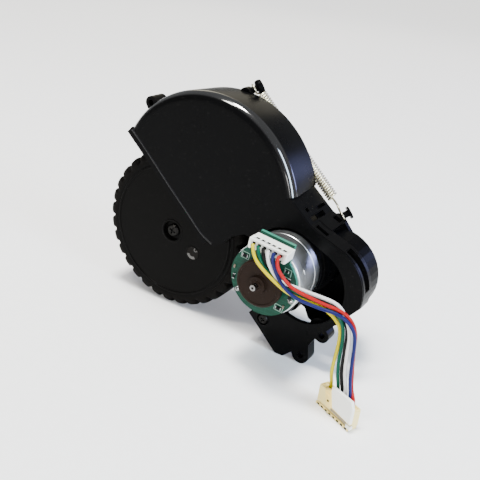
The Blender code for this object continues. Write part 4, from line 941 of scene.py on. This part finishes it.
def build_board_parts():
    """Small parts on the board round the encoder disc, with the motor's two soldered tabs."""
    near = BOARD_NEAR
    shape = bmesh.new()
    for x, z, wide, high in CHIPS:
        add_board_box(shape, x, z, near - 0.28, (wide, 0.5, high))
    link_board_piece("board_chips", shape, "chip", 0.08)
    shape = bmesh.new()
    for x, z, wide, high in CHIPS:
        for side in (-1, 1):
            if wide > high:
                add_board_box(shape, x + side * (wide / 2 + 0.1), z, near - 0.2, (0.5, 0.42, high + 0.16))
            else:
                add_board_box(shape, x, z + side * (high / 2 + 0.1), near - 0.2, (wide + 0.16, 0.42, 0.5))
    link_board_piece("board_chip_ends", shape, "solder", 0.08)
    shape = bmesh.new()
    for x, z in CAPACITORS:
        add_board_box(shape, x, z, near - 0.3, (0.8, 0.5, 1.2))
    link_board_piece("board_capacitors", shape, "ceramic", 0.1)
    shape = bmesh.new()
    for x, z, wide, high in CHIP_OUTLINES:
        for side in (-1, 1):
            add_board_box(shape, x + side * wide / 2, z, near - 0.03, (0.24, 0.08, high))
            add_board_box(shape, x, z + side * high / 2, near - 0.03, (wide, 0.08, 0.24))
    link_board_piece("board_outlines", shape, "ink")
    solder = [
        (0.0, near - 0.8), (0.4, near - 0.7), (0.8, near - 0.3), (1.15, near - 0.05),
        (1.15, near + 0.05), (0.0, near + 0.05),
    ]
    for number, (x, z) in enumerate(MOTOR_TABS, 1):
        foot = board_point(x, z, near)
        name = f"motor_tab_solder_{number}"
        turned_piece(name, solder, Vector((foot.x, foot.z)), 20, "solder", "swing_arm", 60.0)
        shape = bmesh.new()
        lean = BOARD_TURN @ Matrix.Rotation(-math.atan2(z, x), 3, "Y")
        add_board_box(shape, x * 1.02, z * 1.02, near - 0.7, (1.6, 0.8, 0.4), lean)
        link_board_piece(f"motor_tab_{number}", shape, "tin", 0.1)


# Motor

def build_motor():
    """Rolled rear edge, crimps and wrap of the can, and the arm's sleeve round its front half. The rolled
    edge is a lighter zinc than the can, a painted highlight.
    """
    rear, can_r = CAN_REAR, MOTOR_R
    band = [
        (can_r - 0.75, rear - 1.15), (can_r - 0.2, rear - 1.3), (can_r + 0.12, rear - 1.05),
        (can_r + 0.14, rear + 2.6), (can_r - 0.02, rear + 2.8), (can_r - 0.3, rear + 2.8),
        (can_r - 0.3, rear - 0.6), (can_r - 0.75, rear - 0.7),
    ]
    # The rolled edge is a lighter zinc than the can, a painted highlight
    turned_piece("motor_can_rolled_edge", band, MOTOR_AT, 96, "cap", "swing_arm", 50.0)
    shape = bmesh.new()
    crimps = 6
    for i in range(crimps):
        angle = math.tau * (i + 0.4) / crimps
        spot = in_space(around(MOTOR_AT, can_r + 0.02, angle), rear + 4.0)
        add_box(shape, spot, (0.28, 1.4, 2.0), Matrix.Rotation(-angle, 3, "Y"))
    link_piece("motor_can_crimps", shape, "can", "swing_arm", 0.12)
    mouth, root, step_y = 0.4, 12.1, -3.6
    wrap = [
        (can_r - 0.2, rear + 2.7), (can_r + 0.04, rear + 2.7), (can_r + 0.04, step_y),
        (can_r + 0.16, step_y + 0.2), (can_r + 0.16, mouth + 0.2), (can_r - 0.2, mouth + 0.2),
    ]
    turned_piece("motor_can_wrap", wrap, MOTOR_AT, 128, "can", "swing_arm", 30.0)
    sleeve = [
        (can_r + 0.06, root), (can_r + 0.2, mouth), (can_r + 0.5, mouth - 0.2),
        (can_r + 0.75, mouth + 0.2), (can_r + 0.75, 3.0), (can_r + 1.3, 3.2),
        (can_r + 1.3, 4.0), (can_r + 0.9, 4.2), (can_r + 0.9, root),
    ]
    turned_piece("arm_cup_sleeve", sleeve, MOTOR_AT, 96, "arm", "swing_arm", 40.0)


def build_encoder():
    """Turned lip and boss on the magnet disc, and the shaft's chamfered tip, with a dark disc of painted
    shade for its centre hole.
    """
    face = DISC_NEAR + 1.6
    lip = [
        (7.9, face - 0.02), (8.05, face - 0.16), (8.9, face - 0.16), (9.05, face - 0.02),
        (9.05, face + 0.2), (7.9, face + 0.2),
    ]
    turned_piece("encoder_disc_lip", lip, MOTOR_AT, 72, "encoder", "motor_rotor", 50.0)
    boss = [
        (1.25, DISC_NEAR - 0.5), (1.8, DISC_NEAR - 0.5), (2.1, DISC_NEAR - 0.2), (2.1, face - 0.95),
        (3.2, face - 0.8), (3.6, face - 0.5), (3.7, face + 0.1), (1.25, face + 0.1),
    ]
    turned_piece("encoder_boss", boss, MOTOR_AT, 48, "encoder", "motor_rotor", 40.0)
    tip = SHAFT_TIP
    chamfer = [
        (0.5, tip - 0.02), (0.65, tip - 0.07), (0.85, tip - 0.07), (1.05, tip + 0.15),
        (1.05, tip + 0.9), (0.5, tip + 0.9),
    ]
    turned_piece("motor_shaft_tip", chamfer, MOTOR_AT, 32, "shaft", "motor_rotor", 40.0)
    # Dark disc of painted shade for the shaft's centre hole
    centre = [(0.0, tip - 0.01), (0.5, tip - 0.03), (0.5, tip + 0.1), (0.0, tip + 0.1)]
    turned_piece("motor_shaft_centre", centre, MOTOR_AT, 24, "socket", "motor_rotor")


# Spring

def hook(post, side, way):
    """Loop of the spring's wire round a post. way is 1 where the coil lies ahead, or -1."""
    reach = (SPRING_LINE - POST_AXIS * SPRING_LINE.dot(POST_AXIS)).normalized() * way
    points = []
    steps = 18
    for i in range(steps + 1):
        angle = math.radians(60.0 + 300.0 * i / steps)
        points.append(post + (reach * math.cos(angle) + side * math.sin(angle)) * (POST_R + HOOK_GAP))
    return points


def add_button(shape, foot, axis):
    """Adds a rounded button that stands on foot, turned about axis."""
    side = axis.orthogonal().normalized()
    other = axis.cross(side)
    profile = (
        (0.02, -0.4), (2.2, -0.4), (2.75, -0.1), (2.95, 0.6),
        (2.9, 1.5), (2.6, 2.2), (1.9, 2.4), (0.02, 2.5),
    )
    angles = [math.tau * i / 32 for i in range(32)]
    ways = [side * math.cos(a) + other * math.sin(a) for a in angles]
    add_stack(shape, [[foot + axis * rise + way * radius for way in ways] for radius, rise in profile])


def build_spring():
    """Close-wound pull spring with real turns and a hook at each post, and the upper post's button."""
    look = settings()
    wire = look.spring_wire / 2 / MM
    coil_r = look.spring_radius / MM - wire
    start = SPRING_TOP + SPRING_LINE * COIL_FROM
    end = SPRING_TOP + SPRING_LINE * COIL_TO
    side = POST_AXIS.cross(SPRING_LINE).normalized()
    lift = SPRING_LINE.cross(side).normalized()
    count = look.spring_turns * 16
    coil = []
    for i in range(count + 1):
        angle = math.tau * look.spring_turns * i / count
        outward = side * math.cos(angle) + lift * math.sin(angle)
        coil.append(start.lerp(end, i / count) + outward * coil_r)
    points = hook(SPRING_TOP - POST_AXIS * HOOK_SINK, side, 1.0)
    points += [start - SPRING_LINE * 0.9 + side * coil_r * 0.6] + coil
    points += [end + SPRING_LINE * 1.5 + side * coil_r * 0.6, end + SPRING_LINE * 3.4 + side * coil_r * 0.7]
    points += hook(SPRING_LOW - POST_AXIS * HOOK_SINK, side, -1.0)[::-1]
    shape = bmesh.new()
    add_sweep(shape, points, wire, 8)
    piece = link_piece("suspension_spring_coil", shape, "spring", None, smooth=60.0)
    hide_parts("suspension_spring")
    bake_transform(piece)
    shape = bmesh.new()
    add_button(shape, SPRING_TOP + POST_AXIS * 0.25, POST_AXIS)
    link_piece("upper_post_button", shape, "arm", "housing", smooth=50.0)


# Wheel

# One lug: share of the pitch from its middle, and share of its height cut away there
LUG_MARKS = (
    (-0.5, 1.0), (-0.43, 0.96), (-0.385, 0.72), (-0.34, 0.36), (-0.29, 0.13), (-0.2, 0.03),
    (0.0, 0.0), (0.2, 0.03), (0.29, 0.13), (0.34, 0.36), (0.385, 0.72), (0.43, 0.96),
)

# One shoulder: depth in from the tyre's side, drop of the lugs there, and depth of the valleys' floor
SHOULDER = ((0.12, 2.2, 3.1), (0.7, 1.15, 2.9), (1.5, 0.4, 2.6), (2.5, 0.05, 2.2), (3.3, 0.0, 2.1))
BEAD_DEPTH = 4.65
SIDE_DEPTH = 3.8


def build_tyre():
    """Rubber tyre with rounded lugs, softer shoulders and a moulded bead at each side."""
    count = settings().lug_count
    height = settings().lug_height / MM
    pitch = math.tau / count
    marks = [
        (-math.pi / 2 + (i + share) * pitch, depth)
        for i in range(count)
        for share, depth in LUG_MARKS
    ]

    def lug_ring(y, drop, floor):
        """Ring of lugs and valleys at a depth, dropped by so much and no lower than the floor."""
        reaches = [(angle, max(TYRE_R - height * depth - drop, TYRE_R - floor)) for angle, depth in marks]
        return [in_space(around(WHEEL_AXIS, reach, angle), y) for angle, reach in reaches]

    def round_ring(y, depth):
        """Plain ring with as many points."""
        return [in_space(around(WHEEL_AXIS, TYRE_R - depth, angle), y) for angle, _ in marks]

    def half(side, way):
        """Rings from one side's bead to the end of its shoulder. way points to the tyre's middle."""
        rings = [round_ring(side, BEAD_DEPTH), round_ring(side - way * 0.02, SIDE_DEPTH)]
        return rings + [lug_ring(side + way * inset, drop, floor) for inset, drop, floor in SHOULDER]

    shape = bmesh.new()
    add_stack(shape, half(TYRE_NEAR, 1) + half(TYRE_FAR, -1)[::-1], closed=True)
    tyre = link_piece("tyre_lugged", shape, "tyre", "wheel", smooth=50.0)
    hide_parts("tyre")


# Turned details of the hub: name, centre, steps, finish, slot, smoothing, and profile as radius and rise
HUB_DETAILS = (
    ("hub_rim_ring", WHEEL_AXIS, 96, "hub", "hub_plastic", 60.0,
     ((28.1, -0.1), (28.2, 0.22), (28.5, 0.3), (28.9, 0.22), (29.0, -0.1))),
    ("hub_recess_ring", WHEEL_AXIS, 64, "hub", "hub_plastic", 60.0,
     ((4.5, -0.1), (4.55, 0.14), (4.9, 0.2), (5.3, 0.14), (5.4, -0.1))),
    ("hub_bead_seat", WHEEL_AXIS, 96, "hub", "hub_plastic", 60.0,
     ((29.2, -2.2), (29.2, -0.25), (30.7, -0.25), (30.7, -2.2))),
    # The dowel's pocket is a dark disc of painted shade
    ("hub_dowel_pocket", DOWEL_AT, 40, "socket", "black_plastic", 35.0,
     ((0.0, 0.04), (2.9, 0.04), (2.9, -0.3), (0.0, -0.3))),
    ("hub_dowel_lip", DOWEL_AT, 48, "hub", "hub_plastic", 60.0,
     ((2.8, -0.1), (2.9, 0.14), (3.1, 0.2), (3.3, 0.14), (3.4, -0.1))),
)


def build_hub_details():
    """Rings on the hub's face and rim, a dark disc of painted shade for the dowel's pocket, and the
    pocket's bright facets.
    """
    for name, centre, steps, material, slot, smooth, outline in HUB_DETAILS:
        profile = [(radius, HUB_FACE - rise) for radius, rise in outline]
        turned_piece(name, profile, centre, steps, material, "wheel", smooth)
    near, far = HUB_FACE - 0.1, HUB_FACE + 0.1
    shape = bmesh.new()
    angles = [math.radians(196.0 + 110.0 * i / 12) for i in range(13)]
    crescent = [around(DOWEL_AT, 2.75, a) for a in angles]
    crescent += [around(DOWEL_AT, 1.5, a) for a in reversed(angles)]
    add_prism(shape, crescent, near, far)
    eye = DOWEL_AT + Vector((1.5, 1.9))
    add_lathe(shape, [(0.55, near), (0.9, near), (0.9, far), (0.55, far)], eye, 24)
    link_piece("hub_dowel_facets", shape, "facet", "wheel", smooth=40.0)


# Housing

def build_fender_skin():
    """Smooth skin of the arch's round corner and rim, a hair outside the solid."""
    middle_r = FENDER_R - FENDER_CORNER
    turns = [math.radians(-90.0 + 6.0 * i) for i in range(16)]

    def run(shift):
        """The arch's section as radius and depth, moved outward by a shift."""
        reach = FENDER_CORNER + shift
        corner = [(middle_r + reach * math.cos(a), FENDER_CORNER + reach * math.sin(a)) for a in turns]
        return [(middle_r - 0.2, -shift)] + corner + [(FENDER_FAR_R + shift, FENDER_DEPTH)]

    section = run(0.04) + run(-0.3)[::-1]
    rings = []
    steps = 150
    for i in range(steps + 1):
        angle = FENDER_START + (FENDER_END - FENDER_START) * i / steps
        rings.append([in_space(around(FENDER_AT, radius, angle), y) for radius, y in section])
    shape = bmesh.new()
    add_stack(shape, rings)
    link_piece("fender_skin", shape, "fender", "housing", smooth=40.0)


def build_cut_edge():
    """Rounded bead along the slanted edge of the housing's wall, and the lining of the skirt's slot."""
    shape = bmesh.new()
    points = smooth_route([in_space(p, CUT_BEAD_Y) for p in CUT_LINE], 2.0)
    add_sweep(shape, points, CUT_BEAD_R, 12)
    link_piece("housing_cut_bead", shape, "bead", "housing", smooth=70.0)
    shape = bmesh.new()
    along = (SKIRT_END - SKIRT_START).normalized()
    inward = Vector((along.y, -along.x))
    high, low = SKIRT_START + along * 4.6, SKIRT_START + along * 12.2
    outline = [high + inward * 1.7, low + inward * 1.7, low + inward * 2.2, high + inward * 2.2]
    add_prism(shape, outline, 11.4, 20.6)
    link_piece("housing_slot_lining", shape, "housing", "housing", 0.1)


# Carried-over nodes, each with its finish and the width of its soft edges
CAD_FINISHES = {
    "wheel_housing": ("housing", 0.18),
    "case_inner": ("arm", 0.16),
    "case_outer": ("arm", 0.3),
    "case_screw": ("screw", 0.1),
    "wheel_hub": ("hub", 0.2),
    "axle_screw": ("dark_screw", 0.1),
    "hub_dowel": ("dark_screw", 0.2),
    "motor_can": ("can", 0.0),
    "motor_end_cap": ("can", 0.12),
    "motor_magnet": ("ferrite", 0.2),
    "motor_armature": ("copper", 0.1),
    "motor_shaft": ("shaft", 0.0),
    "motor_pinion": ("shaft", 0.0),
    "motor_screw": ("screw", 0.1),
    "encoder_disc": ("encoder", 0.12),
    "encoder_board": ("board", 0.08),
    "hall_sensor": ("chip", 0.08),
    "gear_1": ("gear", 0.0),
    "gear_2": ("gear", 0.0),
    "gear_3": ("gear", 0.0),
    "gear_pin": ("shaft", 0.12),
    "output_gear": ("gear", 0.0),
    "output_shaft": ("shaft", 0.12),
    "output_bush": ("bronze", 0.1),
    "pivot_pin": ("shaft", 0.15),
    "pivot_bush": ("bronze", 0.1),
    "pivot_washer": ("screw", 0.12),
    "pivot_screw_near": ("dark_screw", 0.1),
    "pivot_screw_far": ("screw", 0.1),
}


def dress_nodes():
    """Gives every node of the frame that still shows its finish and soft edges."""
    for name, node in NODES.items():
        if node.hide_render:
            continue
        kind = name if name in CAD_FINISHES else name.rstrip("0123456789").rstrip("_")
        look, width = CAD_FINISHES[kind]
        node.data.materials.clear()
        node.data.materials.append(finish_of(look))
        if width:
            soften(node, width, 2, 40.0)


# Stage

def place_object(name, data, location, turn):
    """Links a lamp or the camera, turned by a quaternion."""
    made = bpy.data.objects.new(name, data)
    made.location = location
    made.rotation_mode = "QUATERNION"
    made.rotation_quaternion = turn
    bpy.context.scene.collection.objects.link(made)
    return made


def build_floor():
    """Wide pale floor of plain paper."""
    mesh = bpy.data.meshes.new("floor")
    corners = [(x * FLOOR_REACH, y * FLOOR_REACH, 0.0) for x, y in ((-1, -1), (1, -1), (1, 1), (-1, 1))]
    mesh.from_pydata(corners, [], [(0, 1, 2, 3)])
    floor = bpy.data.objects.new("floor", mesh)
    bpy.context.scene.collection.objects.link(floor)
    paper = bpy.data.materials.new("floor_paper")
    paper.use_nodes = True
    tree = paper.node_tree
    shader = tree.nodes["Principled BSDF"]
    place = add_node(tree, "ShaderNodeTexCoord")
    fibre = add_node(tree, "ShaderNodeTexNoise", {"Scale": 220.0, "Detail": 3.0})
    tones = {MIX_A: (0.86, 0.86, 0.86, 1.0), MIX_B: (0.90, 0.90, 0.90, 1.0)}
    tone = add_node(tree, "ShaderNodeMix", tones, data_type="RGBA")
    join(
        tree,
        (place, "Object", fibre, "Vector"),
        (fibre, "Fac", tone, "Factor"),
        (tone, MIX_OUT, shader, "Base Color"),
    )
    shader.inputs["Roughness"].default_value = 0.9
    shader.inputs["Specular IOR Level"].default_value = 0.1
    mesh.materials.append(paper)


def build_lights():
    """Soft room, a broad light from above and five soft boxes round the module."""
    world = bpy.data.worlds.new("soft_room")
    world.use_nodes = True
    room = world.node_tree.nodes["Background"]
    room.inputs["Color"].default_value = (0.95, 0.97, 1.0, 1.0)
    room.inputs["Strength"].default_value = ROOM_LIGHT
    bpy.context.scene.world = world
    sun = bpy.data.lights.new("overhead", "SUN")
    sun.energy = SUN_POWER
    sun.angle = SUN_ANGLE
    sun.color = (1.0, 0.985, 0.95)
    place_object("overhead", sun, (0.0, 0.0, 0.0), SUN_WAY.to_track_quat("-Z", "Y"))
    middle = at(LAMPS_MIDDLE)
    for name, way, size, power, colour in LAMPS:
        lamp = bpy.data.lights.new(name, "AREA")
        lamp.shape = "RECTANGLE"
        lamp.size, lamp.size_y = size
        lamp.energy = power
        lamp.color = colour
        place_object(name, lamp, middle + Vector(way), (-Vector(way)).to_track_quat("-Z", "Y"))


def build_camera():
    """Camera at the photograph's place and angle."""
    lens = bpy.data.cameras.new("camera")
    lens.lens = FOCAL_PIXELS / PICTURE_PIXELS * SENSOR_WIDTH
    lens.sensor_width = SENSOR_WIDTH
    lens.clip_start = 0.01
    back = CAMERA_BACK.normalized()
    right = (CAMERA_RIGHT - back * CAMERA_RIGHT.dot(back)).normalized()
    turn = Matrix((right, back.cross(right), back)).transposed().to_quaternion()
    bpy.context.scene.camera = place_object("camera", lens, at(CAMERA_AT), turn)


def build_stage():
    """Pale floor, soft lights and the photograph's camera."""
    build_floor()
    build_lights()
    build_camera()


# Add-on

def colour_property(name, description, value):
    """A colour that a user would change."""
    return FloatVectorProperty(
        name=name, description=description, default=value, subtype="COLOR", min=0.0, max=1.0
    )


def length_property(name, description, value):
    """A length that a user would change, in metres."""
    return FloatProperty(name=name, description=description, default=value, unit="LENGTH", precision=5)


class DriveWheelSettings(bpy.types.PropertyGroup):
    """Sizes and colours of the module's looks."""

    housing_colour: colour_property("Housing", "Colour of the black plastic", (0.0014, 0.0014, 0.0015))
    housing_gloss: FloatProperty(
        name="Housing roughness",
        description="Roughness of the black plastic",
        default=0.28,
        min=0.0,
        max=1.0,
        subtype="FACTOR",
    )
    yellow_wire: colour_property("Yellow wire", "Sleeve of the first wire", (0.42, 0.35, 0.0))
    green_wire: colour_property("Green wire", "Sleeve of the second wire", (0.0, 0.055, 0.030))
    black_wire: colour_property("Black wire", "Sleeve of the third wire", (0.002, 0.0019, 0.002))
    white_wire: colour_property("White wire", "Sleeve of the fourth wire", (0.52, 0.51, 0.51))
    blue_wire: colour_property("Blue wire", "Sleeve of the fifth wire", (0.006, 0.008, 0.065))
    red_wire: colour_property("Red wire", "Sleeve of the sixth wire", (0.25, 0.004, 0.005))
    wire_thickness: length_property("Wire thickness", "Outside diameter of each wire", 2 * WIRE_R * MM)
    spring_radius: length_property("Spring radius", "Outside radius of the coil", 0.0024)
    spring_wire: length_property("Spring wire", "Thickness of the spring's wire", 0.00085)
    spring_turns: IntProperty(name="Spring turns", description="Turns of the coil", default=48, min=8)
    lug_count: IntProperty(name="Tyre lugs", description="Lugs round the tyre", default=32, min=8)
    lug_height: length_property("Lug height", "Height of the tyre's lugs", 0.0017)


def settings():
    """The sizes and colours that a user would change."""
    return bpy.context.scene.drive_wheel


class DRIVE_WHEEL_OT_stage(bpy.types.Operator):
    """Make the floor, the lights and the camera"""

    bl_idname = "drive_wheel.stage"
    bl_label = "Stage"

    def execute(self, context):
        build_stage()
        return {"FINISHED"}


class DRIVE_WHEEL_OT_end_plug(bpy.types.Operator):
    """Make the plug on the far end of the lead"""

    bl_idname = "drive_wheel.end_plug"
    bl_label = "Lead end plug"

    def execute(self, context):
        build_end_plug()
        return {"FINISHED"}


class DRIVE_WHEEL_OT_board_plug(bpy.types.Operator):
    """Make the plug and header on the encoder board"""

    bl_idname = "drive_wheel.board_plug"
    bl_label = "Motor plug"

    def execute(self, context):
        build_board_plug()
        return {"FINISHED"}


class DRIVE_WHEEL_OT_lead(bpy.types.Operator):
    """Make the six wires of the lead"""

    bl_idname = "drive_wheel.lead"
    bl_label = "Lead"

    def execute(self, context):
        build_lead()
        return {"FINISHED"}


class DRIVE_WHEEL_OT_board_parts(bpy.types.Operator):
    """Make the small parts on the encoder board"""

    bl_idname = "drive_wheel.board_parts"
    bl_label = "Board parts"

    def execute(self, context):
        build_board_parts()
        return {"FINISHED"}


class DRIVE_WHEEL_OT_motor(bpy.types.Operator):
    """Make the rolled edge, crimps and wrap of the motor's can, and the arm's sleeve"""

    bl_idname = "drive_wheel.motor"
    bl_label = "Motor"

    def execute(self, context):
        build_motor()
        return {"FINISHED"}


class DRIVE_WHEEL_OT_encoder(bpy.types.Operator):
    """Make the lip and boss of the encoder disc, and the shaft's tip"""

    bl_idname = "drive_wheel.encoder"
    bl_label = "Encoder"

    def execute(self, context):
        build_encoder()
        return {"FINISHED"}


class DRIVE_WHEEL_OT_spring(bpy.types.Operator):
    """Make the pull spring with its hooks, and the upper post's button"""

    bl_idname = "drive_wheel.spring"
    bl_label = "Spring"

    def execute(self, context):
        build_spring()
        return {"FINISHED"}


class DRIVE_WHEEL_OT_tyre(bpy.types.Operator):
    """Make the lugged tyre"""

    bl_idname = "drive_wheel.tyre"
    bl_label = "Tyre"

    def execute(self, context):
        build_tyre()
        return {"FINISHED"}


class DRIVE_WHEEL_OT_hub(bpy.types.Operator):
    """Make the rings, the painted shade of the dowel's pocket and the facets on the hub"""

    bl_idname = "drive_wheel.hub"
    bl_label = "Hub"

    def execute(self, context):
        build_hub_details()
        return {"FINISHED"}


class DRIVE_WHEEL_OT_fender(bpy.types.Operator):
    """Make the smooth skin of the fender's corner and rim"""

    bl_idname = "drive_wheel.fender"
    bl_label = "Fender"

    def execute(self, context):
        build_fender_skin()
        return {"FINISHED"}


class DRIVE_WHEEL_OT_cut_edge(bpy.types.Operator):
    """Make the bead on the housing's slanted edge and the slot's lining"""

    bl_idname = "drive_wheel.cut_edge"
    bl_label = "Cut edge"

    def execute(self, context):
        build_cut_edge()
        return {"FINISHED"}


class DRIVE_WHEEL_OT_dress(bpy.types.Operator):
    """Give the frame's own pieces their finishes and edges"""

    bl_idname = "drive_wheel.dress"
    bl_label = "Dress the frame"

    def execute(self, context):
        dress_nodes()
        return {"FINISHED"}


OPERATORS = (
    DRIVE_WHEEL_OT_stage,
    DRIVE_WHEEL_OT_end_plug,
    DRIVE_WHEEL_OT_board_plug,
    DRIVE_WHEEL_OT_lead,
    DRIVE_WHEEL_OT_board_parts,
    DRIVE_WHEEL_OT_motor,
    DRIVE_WHEEL_OT_encoder,
    DRIVE_WHEEL_OT_spring,
    DRIVE_WHEEL_OT_tyre,
    DRIVE_WHEEL_OT_hub,
    DRIVE_WHEEL_OT_fender,
    DRIVE_WHEEL_OT_cut_edge,
    DRIVE_WHEEL_OT_dress,
)


class DRIVE_WHEEL_PT_panel(bpy.types.Panel):
    """Sizes, colours and builders of the drive wheel module."""

    bl_idname = "DRIVE_WHEEL_PT_panel"
    bl_label = "Drive Wheel"
    bl_space_type = "VIEW_3D"
    bl_region_type = "UI"
    bl_category = "Drive Wheel"

    def draw(self, context):
        column = self.layout.column()
        for name in DriveWheelSettings.__annotations__:
            column.prop(context.scene.drive_wheel, name)
        for made in OPERATORS:
            column.operator(made.bl_idname)


CLASSES = (DriveWheelSettings, *OPERATORS, DRIVE_WHEEL_PT_panel)


def register():
    """Registers the classes and the settings."""
    for made in CLASSES:
        bpy.utils.register_class(made)
    bpy.types.Scene.drive_wheel = PointerProperty(type=DriveWheelSettings)


def unregister():
    """Takes the settings and the classes away again."""
    del bpy.types.Scene.drive_wheel
    for made in reversed(CLASSES):
        bpy.utils.unregister_class(made)


def main():
    """Builds everything in order."""
    register()
    for made in OPERATORS:
        getattr(bpy.ops.drive_wheel, made.bl_idname.split(".")[1])()


if __name__ == "__main__":
    main()
